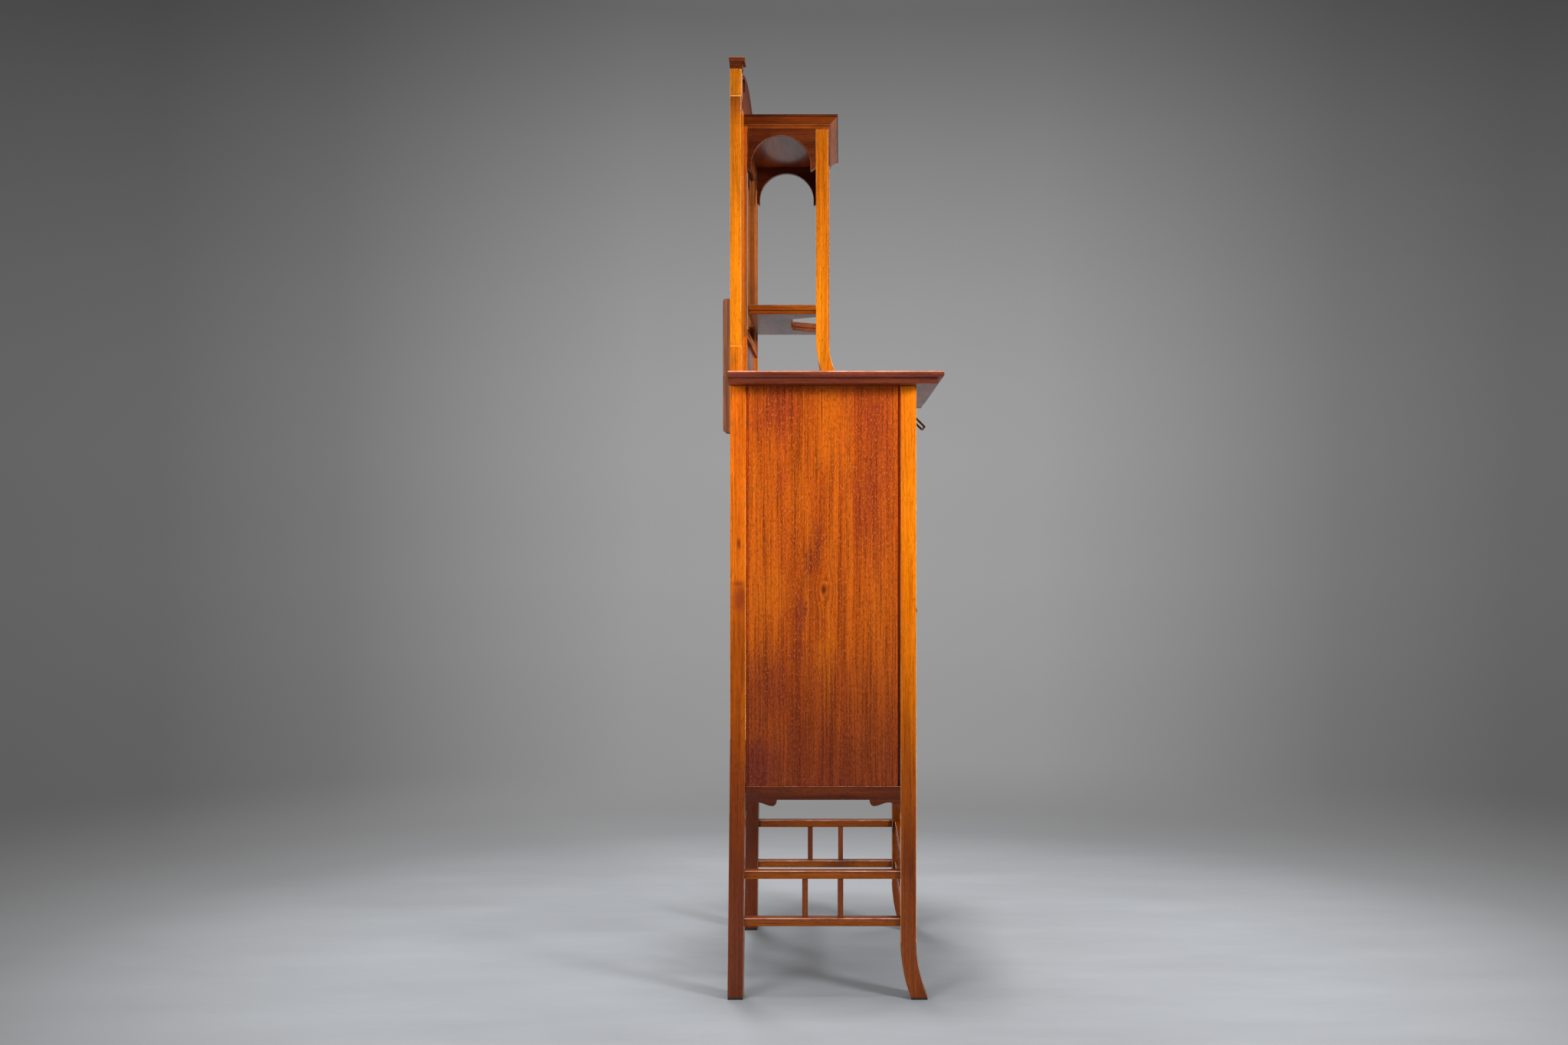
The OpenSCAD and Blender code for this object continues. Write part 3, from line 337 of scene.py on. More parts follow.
def arris(height=0):
    """Picks the narrow faces that lean to a side. They take the second finish, a painted highlight
    over rubbed polish, and up to a height the third"""
    return lambda c, n: (2 if c.z <= height else 1) if 0.18 < abs(n.x) < 0.85 else 0


print("worn finishes ready")

# %% [markdown]
# ## Red mahogany
# The top, the canopy, the arches, the aprons and the mirror's frame are of a darker, redder cut
# of the same wood. The same nodes serve with other tones, one finish for each run of the grain.

# %% The red mahogany finishes
red_tones = (0.06, 0.01, 0.003), (0.10, 0.018, 0.004), (0.15, 0.028, 0.006), (0.225, 0.045, 0.01)
red_mottle = (0.070, 0.013, 0.007)
red = each_way("XY", mahogany, "red_mahogany", red_tones, red_mottle, (0.5, 0.9, 0.1))
dull_red = mahogany(
    "dull_mahogany_x", "X", red_tones, red_mottle, (0.2, 0.3, 0.6),
    gloss=0.0, shine=0.12, rough=(0.5, 0.65),
)
cap_red = mahogany(
    "cap_mahogany", "Y", red_tones, red_mottle, (0.6, 0.1, 0.7), shine=0.25, gloss=0.1
)
top_tones = (0.11, 0.021, 0.01), (0.16, 0.032, 0.015), (0.215, 0.044, 0.02), (0.29, 0.064, 0.028)
top_look = top_tones, (0.12, 0.022, 0.014), (0.4, 0.6, 0.2)
top_red = mahogany("top_mahogany", "X", *top_look, rough=(0.26, 0.36))
top_edge_red = mahogany("top_edge_mahogany", "Y", *top_look)
cornice_tones = (0.18, 0.033, 0.003), (0.27, 0.052, 0.004), (0.37, 0.076, 0.005), (0.50, 0.118, 0.008)
cornice_red = each_way(
    "XYZ", mahogany, "cornice_mahogany", cornice_tones, red_mottle, (0.1, 0.4, 0.8),
    heights=[(1340, 0.78, 0.78, 0.8), (1640, 1.22, 1.28, 1.1)],
)
polished_red = mahogany(
    "polished_mahogany", "X", cornice_tones, red_mottle, (0.3, 0.7, 0.5),
    gloss=0.4, shine=0.5, rough=(0.28, 0.38),
)
frame_tones = (0.27, 0.065, 0.011), (0.39, 0.10, 0.017), (0.52, 0.145, 0.026), (0.68, 0.215, 0.044)
frame_red = each_way(
    "XZ", mahogany, "frame_mahogany", frame_tones, red_mottle, (0.9, 0.4, 0.1), 0.35,
    gloss=0.0, shine=0.15, rough=(0.42, 0.58),
)
frame_side_brown = mahogany(
    "frame_side_mahogany", "Z", leg_tones, leg_mottle, (0.2, 0.8, 0.4), heights=[(1283, 0.56, 0.90, 3)]
)
panel_tones = (0.27, 0.085, 0.042), (0.36, 0.125, 0.07), (0.45, 0.17, 0.105), (0.55, 0.23, 0.15)
lower_panel_red = mahogany(
    "lower_panel_mahogany", "X", panel_tones, (0.25, 0.07, 0.04), (0.4, 0.1, 0.6), gloss=0.3
)
print("red finishes", len(red) + len(cornice_red) + len(frame_red) + 7)

# %% [markdown]
# ## The veneer of the sides
# Each side of the case is one sheet of veneer. The left one has broad orange bands, rust-red
# patches near its top corners and dark streaks round a small knot. It is darker towards the
# bottom, partly its own brown and partly painted shade, and a little darker just under the top,
# which is painted shade from the top's overhang. A painted picture could show that, but nodes keep
# it sharp at any size. The large marks are soft stains set by place, the knot pushes the grain
# aside, and fine flecks lie over everything.

# %% The veneer finish
def veneer(name, knot, marks):
    finish = new_finish(name)
    place = place_in()
    offset = add_node("Mapping", place, Location=[-v for v in knot])
    reach = vectors("LENGTH", add_node("Mapping", offset, Scale=(0, 1.0, 0.5)))
    near = spread(reach, 0.0, 0.028, 1.0, 0.0)
    aside = add_node("VectorMath", offset, operation="SCALE", Scale=near)
    flow = vectors("SUBTRACT", place, aside)
    bands = grained("Z", 24, 1.0, 6, 0.62, 0.7, (0.2, 0.45, 0.1), flow)
    colour = ramp(
        bands, (0.30, (0.36, 0.052, 0.003)), (0.43, (0.50, 0.078, 0.003)),
        (0.54, (0.60, 0.104, 0.003)), (0.70, (0.72, 0.140, 0.004)),
    )
    wander = grained("Z", 15, 6, 4, 0.6, out="Color")
    drift = vectors("MULTIPLY_ADD", wander, (0, 0.12, 0.16), (0, -0.06, -0.08))
    loose = vectors("ADD", place, drift)
    for stain in marks:
        colour = mark(loose, colour, *stain, ragged=0.45)
    lines = grained("Z", 380, 5.5, 5, 0.7, place=flow)
    lines = ramp(lines, (0.36, 0.44), (0.49, 1.0), (0.63, 1.44))
    colour = mix_colours(0.9, colour, lines, "MULTIPLY")
    pores = ramp(grained("Z", 520, 120, 3, 0.6, place=flow), (0.52, 0), (0.64, 0.70))
    colour = mix_colours(pores, colour, (0.20, 0.030, 0.006))
    flecks = grained("Z", 420, 190, 2, 0.6, 0, (0.3, 0.8, 0), flow)
    colour = mix_colours(ramp(flecks, (0.54, 0), (0.66, 0.62)), colour, (0.84, 0.19, 0.03))
    core = spread(reach, 0.001, 0.008, 0.85, 0.0)
    colour = mix_colours(core, colour, (0.12, 0.016, 0.004))
    # Tones by height: darker towards the bottom, partly the veneer's own brown and partly painted shade,
    # and darker at the top, a painted shade under the top's overhang.
    colour = tone_by_height(place, colour, [
        (410, 0.33, 0.31, 1.2), (470, 0.36, 0.34, 1.2), (570, 0.48, 0.46, 1.0), (700, 0.74, 0.76, 0.9),
        (850, 0.92, 0.94, 1), (1130, 1.02, 1.0, 1), (1180, 0.86, 0.84, 1),
    ])
    wear = grained("Z", 24, 12, 4, 0.6, 0, (0.1, 0.1, 0.1), flow)
    dress(
        (mix_colours(0.5, lines, pores, "SUBTRACT"), 0.25, 0.0008), Base_Color=colour,
        Roughness=ramp(wear, (0.3, 0.22), (0.7, 0.36)), Specular_IOR_Level=0.25, Coat_Weight=0.1,
        Coat_Roughness=0.2,
    )
    return finish


rust, dusk, bright = (0.34, 0.036, 0.012), (0.26, 0.034, 0.010), (0.78, 0.165, 0.003)
left_marks = [
    ((106, 1134), (66, 74), rust, 0.75), ((-77, 1120), (60, 105), rust, 0.75),
    ((-72, 930), (46, 190), rust, 0.5), ((2, 1090), (38, 130), bright, 0.5),
    ((121, 619), (62, 92), dusk, 0.55), ((53, 705), (13, 105), dusk, 0.75),
    ((38, 842), (12, 70), dusk, 0.6), ((14, 640), (14, 170), bright, 0.55),
    ((118, 770), (50, 70), bright, 0.45), ((-70, 1106), (10, 7), dusk, 0.6),
    ((60, 960), (30, 120), bright, 0.35), ((-105, 700), (14, 200), bright, 0.3),
    ((135, 455), (60, 80), dusk, 0.5), ((-100, 1000), (40, 150), rust, 0.4),
    ((100, 1010), (22, 60), rust, 0.35),
]
right_marks = [((-y, z - 25), reach, tone, share) for (y, z), reach, tone, share in left_marks]
veneer_left = veneer("veneer_left", (-0.217, 0.0167, 0.788), left_marks)
veneer_right = veneer("veneer_right", (0.217, 0.05, 0.93), right_marks)
print("veneers", veneer_left.name, veneer_right.name)

# %% [markdown]
# ## Unpolished wood inside and behind
# The drawer's lining, the shelves, the back and the battens were never polished. Old pine and
# cheap mahogany turn a greyish brown, with plain lines of grain and no gloss at all.

# %% The bare wood finishes
def bare_wood(name, grain, tones, shift=(0, 0, 0)):
    finish = new_finish(name)
    colour = ramp(grained(grain, 38, 1.6, 5, 0.6, 0.9, shift), *zip((0.32, 0.5, 0.68), tones))
    fibres = grained(grain, 700, 9, 5, 0.7, 0, shift)
    shade = ramp(fibres, (0.35, 0.62), (0.65, 1.12))
    colour = mix_colours(0.85, colour, shade, "MULTIPLY")
    stains = ramp(grained(grain, 7, 5, 4, 0.6, 0.6, shift), (0.5, 0), (0.72, 0.55))
    dress(
        (shade, 0.35, 0.0008), Base_Color=mix_colours(stains, colour, (0.07, 0.035, 0.024)),
        Roughness=ramp(fibres, (0.3, 0.62), (0.7, 0.85)),
    )
    return finish


pine_tones = (0.13, 0.070, 0.040), (0.21, 0.120, 0.070), (0.30, 0.185, 0.115)
lining_tones = (0.20, 0.095, 0.040), (0.31, 0.155, 0.070), (0.42, 0.230, 0.110)
batten_tones = (0.12, 0.040, 0.018), (0.34, 0.132, 0.064), (0.64, 0.280, 0.140)
pine = each_way("XYZ", bare_wood, "bare_pine", pine_tones, (0.2, 0.5, 0.3))
lining = each_way("XY", bare_wood, "lining_wood", lining_tones)
batten_wood = bare_wood("batten_wood", "Z", batten_tones, (0.9, 0.4, 0.6))
print("bare woods", len(pine) + len(lining) + 1)

# %% [markdown]
# ## Brass, mirror, steel and felt
# The brass is old: it is dull and brown where no hand rubs it. The mirrors are silvered plates,
# which are plain metal to the renderer, with faint grey bloom where damp has reached the silver.
# A glass body over a metal one would be truer, but it costs light and shows no more than this.

# %% The brass, mirror, steel and felt finishes
def metal(name, clean, dull, rough, half):
    finish = new_finish(name)
    tarnish = grained("Z", 160, 160, 5, 0.65, 0.3)
    dress(
        (grained("X", 2200, 300, 2, 0.5), 0.08, 0.0003), Metallic=1.0,
        Base_Color=ramp(tarnish, (0.5 - half, dull), (0.5 + half, clean)),
        Roughness=ramp(tarnish, (0.3, rough + 0.16), (0.7, rough)),
    )
    return finish


old_brass = metal("old_brass", (0.30, 0.19, 0.08), (0.07, 0.042, 0.020), 0.30, 0.14)
rubbed_brass = metal("rubbed_brass", (0.13, 0.080, 0.035), (0.030, 0.019, 0.011), 0.30, 0.16)
screw_steel = metal("screw_steel", (0.34, 0.32, 0.30), (0.11, 0.085, 0.07), 0.36, 0.12)

mirror_silver = new_finish("mirror_silver")
bloom = grained("Z", 14, 9, 8, 0.7, 0.4)
dress(
    Base_Color=ramp(bloom, (0.64, (0.86, 0.88, 0.88)), (0.80, (0.66, 0.67, 0.66))),
    Roughness=ramp(bloom, (0.62, 0.012), (0.82, 0.14)), Metallic=1.0,
)

foot_felt = new_finish("foot_felt")
fibres = grained("Z", 1500, 1500, 4, 0.7)
dress(
    (fibres, 0.5, 0.0005), Roughness=0.95,
    Base_Color=ramp(fibres, (0.3, (0.012, 0.010, 0.008)), (0.7, (0.05, 0.042, 0.034))),
)
print("metals, mirror and felt ready")

# %% [markdown]
# ## The studio
# The photograph was taken in front of a grey backdrop, on a pale floor with a pool of light round
# the cabinet. That pool is painted light in the floor's colour, which is paler near the cabinet and
# fades into the backdrop's grey, on one wide round sheet. Further out the floor glows with the
# backdrop's painted colour, though it is no lamp. The backdrop's brighter patch behind the cabinet
# and its darker top are painted into the world's colour too. The world shows the backdrop to the
# camera and in reflections, where the side of the unlit room behind the camera is dark, and lights
# all else evenly. Soft lamps stand on every side, and one hangs above.
# A lamp's own reflection would burn white spots into the polish, so the lamps stay out of
# reflections, and the world shows a soft window of light there instead.

# %% Floor
def nothing_selected():
    if bpy.context.object and bpy.context.object.mode != "OBJECT":
        bpy.ops.object.mode_set(mode="OBJECT")
    bpy.ops.object.select_all(action="DESELECT")


def pooled(place, depth):
    """The grey of the backdrop, with a painted pool of light that is brightest towards +X and -X.
    Depth is added to the distance along X, so that the floor's painted pool meets the backdrop's"""
    sizes = vectors("ABSOLUTE", place)
    slant = numbers("DIVIDE", part_of(sizes, "Y"), numbers("ADD", part_of(sizes, "X"), depth))
    return ramp(
        slant, (0.05, 0.350), (0.16, 0.335), (0.27, 0.270), (0.40, 0.185), (0.54, 0.135),
        (0.70, 0.125), (1.0, 0.150),
    )


nothing_selected()
bpy.ops.mesh.primitive_circle_add(vertices=96, radius=400, fill_type="NGON", location=(0, 0, 0))
floor = bpy.context.object
floor.name = "studio_floor"
bpy.ops.object.mode_set(mode="EDIT")
for thickness in (300, 60, 20, 12):
    bpy.ops.mesh.inset(thickness=thickness, depth=0)
bpy.ops.object.mode_set(mode="OBJECT")
floor.data.materials.append(new_finish("studio_floor"))
place = place_in()
reach = vectors("LENGTH", add_node("Mapping", place, Scale=(1.55, 1.0, 1.0)))
grain = grained("Y", 7.0, 1.6, 6, 0.65)
pale = ramp(grain, (0.34, (0.264, 0.275, 0.292)), (0.66, (0.296, 0.309, 0.328)))
# The floor is paler near the cabinet and fades to the backdrop's grey further out: a painted pool of
# light.
light_pool_fade = spread(reach, 0.0, 2.4, curve="LINEAR")
light_pool_fade = ramp(light_pool_fade, (0.40, 0), (0.56, 0.35), (0.72, 0.8), (0.92, 1))
sheet = add_node(
    "BsdfPrincipled", Base_Color=mix_colours(light_pool_fade, pale, (0.150, 0.152, 0.155)), Roughness=0.7,
    Specular_IOR_Level=0.2,
)
# Further out the floor is an emission in the backdrop's painted colour: it glows though it is no lamp,
# and towards +X it lights the scene as well.
far_tone = spread(reach, 0.0, 40.0, curve="LINEAR")
far_tone = ramp(far_tone, (0.05, 0.85), (0.11, 0.88), (0.25, 0.94), (0.7, 0.98))
glow = add_node("Emission", mix_colours(1.0, pooled(place, 2.63), far_tone, "MULTIPLY"))
camera_ray = add_node("LightPath", out="Is Camera Ray")
shown = numbers("MAXIMUM", spread(part_of(place, "X"), -0.5, 2.5), camera_ray)
glow_share = numbers("MULTIPLY", spread(reach, 1.1, 3.6), shown)
add_node("OutputMaterial", add_node("MixShader", glow_share, sheet, glow))
print("floor ready")

# %% Backdrop
bpy.context.scene.world = take_in_hand(bpy.data.worlds.new("studio_world"))
towards = add_node("TexCoord", out="Generated")
up = part_of(towards, "Z")
# Painted shade: the backdrop darkens towards its top.
height_tone = ramp(
    up, (0.0, 0.98), (0.05, 1.0), (0.11, 0.97), (0.17, 0.89), (0.227, 0.78), (0.282, 0.655),
    (0.335, 0.505), (0.375, 0.40),
)
backdrop = mix_colours(1.0, pooled(towards, 0.0), height_tone, "MULTIPLY")
room = spread(part_of(towards, "X"), -1.0, 1.0)
room = ramp(room, (0.0, 0.035), (0.35, 0.07), (0.6, 0.20), (1.0, (0.32, 0.32, 0.31)))
room = mix_colours(1.0, room, ramp(up, (0.0, 0.6), (0.3, 1.0)), "MULTIPLY")
window = spread(vectors("DOT_PRODUCT", towards, (-0.46, -0.66, 0.59)), 0.78, 0.97)
room = mix_colours(window, room, (0.95, 0.93, 0.90))
rays = add_node("LightPath").node.outputs
seen = numbers("MAXIMUM", rays["Is Camera Ray"], rays["Is Transmission Ray"])
plain_light = add_node("Background", (1.0, 0.985, 0.96), 0.27)
unseen = add_node("MixShader", rays["Is Glossy Ray"], plain_light, add_node("Background", room))
add_node("OutputWorld", add_node("MixShader", seen, unseen, add_node("Background", backdrop)))
print("backdrop ready")

# %% Lamps
for name, place, target, side, power in (
    ("lamp_key", (-1.62, -2.3, 1.75), (0, 0, 1.2), 0.5, 70),
    ("lamp_left", (-2.3, 2.2, 1.6), (0, 0, 1.1), 1.2, 50),
    ("lamp_above", (-0.3, 0.1, 6.0), (0, 0, 0), 0.8, 250),
    ("lamp_front", (1.9, -2.9, 2.0), (0, 0, 0.9), 1.6, 22),
    ("lamp_far", (2.6, 1.6, 1.9), (0, 0, 0.9), 1.4, 60),
):
    lamp = bpy.data.lights.new(name, "AREA")
    lamp.shape = "SQUARE"
    lamp.size = side
    lamp.energy = power
    holder = bpy.data.objects.new(name, lamp)
    bpy.context.collection.objects.link(holder)
    holder.location = place
    holder.rotation_euler = (Vector(target) - Vector(place)).to_track_quat("-Z", "Y").to_euler()
    holder.visible_camera = False
    holder.visible_glossy = False
bpy.context.scene.view_settings.view_transform = "Standard"
print("studio ready")

# %% [markdown]
# ## Helpers for the joiner's work
# Each piece starts as a block of its real size, in its place. Then its faces and edges are picked
# by where they lie, as a joiner marks them, and pushed, grown, swept or eased in edit mode. The
# arrises are rounded last with a Bevel modifier, because a real edge is never quite sharp and
# that narrow round is what catches the light. A helper that takes up a piece first leaves edit
# mode, so the cells needn't.

# %% Helpers for shaping
def take_up(piece):
    """Selects one piece alone"""
    nothing_selected()
    bpy.context.view_layer.objects.active = piece
    piece.select_set(True)


def named(name):
    piece = bpy.context.object
    piece.name = name
    bpy.ops.object.transform_apply(location=True, rotation=True, scale=True)
    return piece


def block(name, low, high):
    """A block between two corners"""
    nothing_selected()
    low, high = Vector(low) * MM, Vector(high) * MM
    bpy.ops.mesh.primitive_cube_add(size=1, location=(low + high) / 2, scale=high - low)
    return named(name)


def rod(name, middle, radius, length, axis, sides=24):
    """A round rod about its middle, along an axis"""
    nothing_selected()
    quarter = math.radians(90)
    turn = {"X": (0, quarter, 0), "Y": (quarter, 0, 0), "Z": (0, 0, 0)}[axis]
    bpy.ops.mesh.primitive_cylinder_add(
        vertices=sides, radius=radius * MM, depth=length * MM, location=Vector(middle) * MM,
        rotation=turn,
    )
    return named(name)


def edit(piece):
    take_up(piece)
    bpy.ops.object.mode_set(mode="EDIT")
    bpy.ops.mesh.select_all(action="SELECT")


def pick(piece, test, kind="FACE"):
    """Selects the faces, edges or points whose middle, in millimetres, and direction pass the test"""
    if bpy.context.object is not piece or piece.mode != "EDIT":
        edit(piece)
    bpy.ops.mesh.select_mode(type=kind)
    bpy.ops.mesh.select_all(action="DESELECT")
    mesh = bmesh.from_edit_mesh(piece.data)
    if kind == "FACE":
        found = [(f, f.calc_center_median(), f.normal) for f in mesh.faces]
    elif kind == "EDGE":
        ends = [(e, e.verts[0].co, e.verts[1].co) for e in mesh.edges]
        found = [(e, (a + b) / 2, (b - a).normalized()) for e, a, b in ends]
    else:
        found = [(v, v.co, v.normal) for v in mesh.verts]
    for part, middle, direction in found:
        if test(middle / MM, direction):
            part.select_set(True)
    mesh.select_flush_mode()
    bmesh.update_edit_mesh(piece.data)


def push(x=0, y=0, z=0):
    """Extrudes what is selected"""
    bpy.ops.mesh.extrude_region_move(TRANSFORM_OT_translate={"value": (x * MM, y * MM, z * MM)})


def slide(x=0, y=0, z=0):
    """Moves what is selected"""
    bpy.ops.transform.translate(value=(x * MM, y * MM, z * MM))


def grow(middle, x=1, y=1, z=1):
    """Scales what is selected about a point"""
    bpy.ops.transform.resize(value=(x, y, z), center_override=Vector(middle) * MM)


def inset(width):
    bpy.ops.mesh.inset(thickness=width * MM, depth=0)


def sweep(steps, angle, middle, axis):
    """Carries what is selected round a point, in steps"""
    bpy.ops.mesh.spin(steps=steps, angle=angle, center=Vector(middle) * MM, axis=axis)


def trim(place, direction):
    """Cuts off all of the piece in hand that lies behind a plane"""
    bpy.ops.mesh.select_all(action="SELECT")
    bpy.ops.mesh.bisect(
        plane_co=Vector(place) * MM, plane_no=direction, use_fill=True, clear_inner=True
    )


def work(piece, kind, **settings):
    """Applies a modifier with its settings"""
    take_up(piece)
    made = piece.modifiers.new("work", kind)
    for name, value in settings.items():
        setattr(made, name, value)
    bpy.ops.object.modifier_apply(modifier=made.name)


def ease(piece, width, segments=2, angle=32):
    """Rounds the arrises"""
    work(
        piece, "BEVEL", width=width * MM, segments=segments, limit_method="ANGLE",
        angle_limit=math.radians(angle),
    )


def cut(piece, *tools):
    """Cuts the tools' shapes out of the piece, and throws the tools away"""
    for tool in tools:
        work(piece, "BOOLEAN", operation="DIFFERENCE", object=tool, solver="EXACT")
        bpy.data.objects.remove(tool)


def fair(piece):
    """Merges doubled points and turns every face outwards"""
    edit(piece)
    bpy.ops.mesh.remove_doubles(threshold=0.00002)
    bpy.ops.mesh.normals_make_consistent(inside=False)
    bpy.ops.object.mode_set(mode="OBJECT")


def copy_of(piece, name, x=0, y=0, mirrored=False):
    """A copy with its own mesh, moved, or mirrored to the other side of the cabinet"""
    take_up(piece)
    bpy.ops.object.duplicate(linked=False)
    made = bpy.context.object
    made.name = name
    edit(made)
    if mirrored:
        grow((0, 0, 0), x=-1)
        bpy.ops.mesh.normals_make_consistent(inside=False)
    slide(x, y)
    return made


def join(name, *parts):
    """Several pieces of the same wood become one object"""
    nothing_selected()
    for part in parts:
        part.select_set(True)
    bpy.context.view_layer.objects.active = parts[0]
    bpy.ops.object.join()
    parts[0].name = name
    return parts[0]


def both_sides(piece):
    """Joins a piece to its mirror image"""
    return join(piece.name, piece, copy_of(piece, "other_side", mirrored=True))


def hand_over(piece, slot, finishes, *nodes, body="case", smooth=35, paint=None):
    """Gives a finished piece its finishes, its body and the CAD nodes that it stands for. Paint
    says which of the finishes a face takes"""
    take_up(piece)
    bpy.ops.object.shade_smooth_by_angle(angle=math.radians(smooth))
    work(piece, "WEIGHTED_NORMAL", keep_sharp=True)
    piece.data.materials.clear()
    for finish in finishes if isinstance(finishes, list) else [finishes]:
        piece.data.materials.append(finish)
    if paint:
        for face in piece.data.polygons:
            face.material_index = int(paint(face.center / MM, face.normal))
    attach(piece, body)
    if nodes:
        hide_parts(*nodes)
    low = [round(min(v.co[k] for v in piece.data.vertices) / MM, 1) for k in range(3)]
    high = [round(max(v.co[k] for v in piece.data.vertices) / MM, 1) for k in range(3)]
    print(piece.name, low, high, len(piece.data.polygons), "faces")


def hand_over_pair(right, slot, finishes, node, **others):
    """Makes a right piece's mirror image, and hands over both"""
    left = copy_of(right, right.name.replace("right", "left"), mirrored=True)
    for piece, side in ((left, "left"), (right, "right")):
        hand_over(piece, slot, finishes, f"{node}_{side}", **others)


print("shaping helpers ready")

# %% [markdown]
# ## Mouldings that go round a block
# The top, the cornice, the posts and their caps are blocks whose sides carry a moulding, mitred
# at the corners. A profile could be swept along a path, but the mitres would need care. Instead
# the block's upper face is pushed up and grown one small step at a time, by the same reach on
# each moulded side, so every mitre forms itself.

# %% Helpers for moulded blocks
def moulded(name, low, high, z, rows, sides):
    """rows hold a height over z and a reach past the block, and sides the share of that reach on
    the left, right, front and back"""
    def edges(reach):
        left, right, front, back = (reach * share for share in sides)
        return low[0] - left, high[0] + right, low[1] - front, high[1] + back

    was = edges(rows[0][1])
    piece = block(name, (was[0], was[2], z + rows[0][0]), (was[1], was[3], z + rows[1][0]))
    pick(piece, lambda c, n: n.z > 0.9)
    for step, (up, reach) in enumerate(rows[1:]):
        if step:
            push(z=up - rows[step][0])
        now = edges(reach)
        middle = ((was[0] + was[1]) / 2, (was[2] + was[3]) / 2, z + up)
        grow(middle, x=(now[1] - now[0]) / (was[1] - was[0]), y=(now[3] - now[2]) / (was[3] - was[2]))
        slide(x=(now[0] + now[1]) / 2 - middle[0], y=(now[2] + now[3]) / 2 - middle[1])
        was = now
    return piece


def turns(first, last, steps):
    """Angles in even steps, given in degrees and returned in radians"""
    return [math.radians(first + (last - first) * k / steps) for k in range(steps + 1)]


def half_round(z, out, radius, steps=8):
    """A half-round nose about height z, as rows"""
    return [(z + radius * math.sin(a), out + radius * math.cos(a)) for a in turns(-90, 90, steps)]


def hollow(z, out, radius):
    """A quarter hollow that rises outwards from its foot"""
    return [(z + radius * math.sin(a), out + radius - radius * math.cos(a)) for a in turns(0, 90, 6)]


print("half round", [tuple(round(v, 1) for v in row) for row in half_round(16.5, -6.5, 6.5)][:3])

# %% [markdown]
# ## The front legs
# Each front leg is square and straight, and its last 110 mm sweep forward on an arc. A curve
# with a bevel object could follow that, but the leg's section has to stay square to the arc, and
# Spin does just that: it turns the bottom face round the arc's centre in small steps. What went
# past the floor is cut off level with Bisect. The arrises are eased before anything is let in,
# so that the recesses and the lock's mortise keep their sharp corners.

# %% Front legs
def swept_leg(name, low, high, foot_z, radius):
    """The sweep starts at foot_z and ends at the low corner's height"""
    piece = block(name, (low[0], low[1], foot_z), high)
    pick(piece, lambda c, n: n.z < -0.9)
    angle = math.asin((foot_z - low[2]) / radius) + math.radians(2)
    sweep(18, angle, (0, low[1] - radius, foot_z), (1, 0, 0))
    trim((0, 0, low[2]), (0, 0, 1))
    fair(piece)
    return piece


right_leg = swept_leg(
    "front_leg_right", (LEG_IN, FRONT, SOLE), (LEG_OUT, FRONT + LEG, CASE_TOP), 110, 266
)
left_leg = copy_of(right_leg, "front_leg_left", mirrored=True)
for leg in (left_leg, right_leg):
    ease(leg, 1.6, 3)
HINGE_HEIGHTS, HINGE_HALF = (506, 984), 30
cut(right_leg, *[
    block(
        "hinge_recess", (LEG_IN - 1, FRONT - 1, z - HINGE_HALF),
        (LEG_IN + 1.5, FRONT + 22, z + HINGE_HALF),
    )
    for z in HINGE_HEIGHTS
])
cut(left_leg, block("bolt_mortise", (-LEG_IN - 8, -145, 739.5), (-LEG_IN + 1, -139, 750.5)))
leg_look = [front_leg_golden, highlit_wear_golden, highlit_wear_brown]
hand_over(left_leg, "light_wood", leg_look, "leg_front_left", paint=arris(520))
hand_over(right_leg, "light_wood", leg_look, "leg_front_right", paint=arris(520))

# %% [markdown]
# ## The rear legs
# A rear leg is straight too, but from 500 mm down it leans back a little, 5 mm at the floor.
# Its lower part is the upper part's bottom face, pushed down and back in one step.

# %% Rear legs
LEAN, LEAN_TOP = 5, 500
rear_leg = block("rear_leg_right", (LEG_IN, REAR - LEG, LEAN_TOP), (LEG_OUT, REAR, CASE_TOP))
pick(rear_leg, lambda c, n: n.z < -0.9)
push(y=LEAN, z=SOLE - LEAN_TOP)
ease(rear_leg, 1.6, 3)
hand_over_pair(
    rear_leg, "light_wood", [rear_leg_golden, highlit_wear_golden, highlit_wear_brown], "leg_rear", paint=arris(820)
)

# %% [markdown]
# ## The pads under the feet
# Thin dark pads keep the feet off the floor. They are cut to the sole, with rounded corners.

# %% Foot pads
front_pad = block("pad_front", (LEG_IN + 0.5, -182.5, 0), (LEG_OUT - 0.5, -151.1, SOLE))
rear_pad = block("pad_rear", (LEG_IN + 0.5, REAR - 24.5, 0), (LEG_OUT - 0.5, REAR + 4.5, SOLE))
pads = join("felt_pads", front_pad, rear_pad)
ease(pads, 0.8, 3)
hand_over(both_sides(pads), "foot_pads", foot_felt, "foot_pads")

# %% [markdown]
# ## The aprons
# Below each side and the front runs an apron, whose lower edge swells into a bracket beside each
# leg: a hollow by the leg, a long swell and a small rounded lip. Such an edge is sawn along a
# drawn line. Here a short block walks along that line: its end face is pushed on to the next
# station, and then its lower edge is slid to the line's height there.

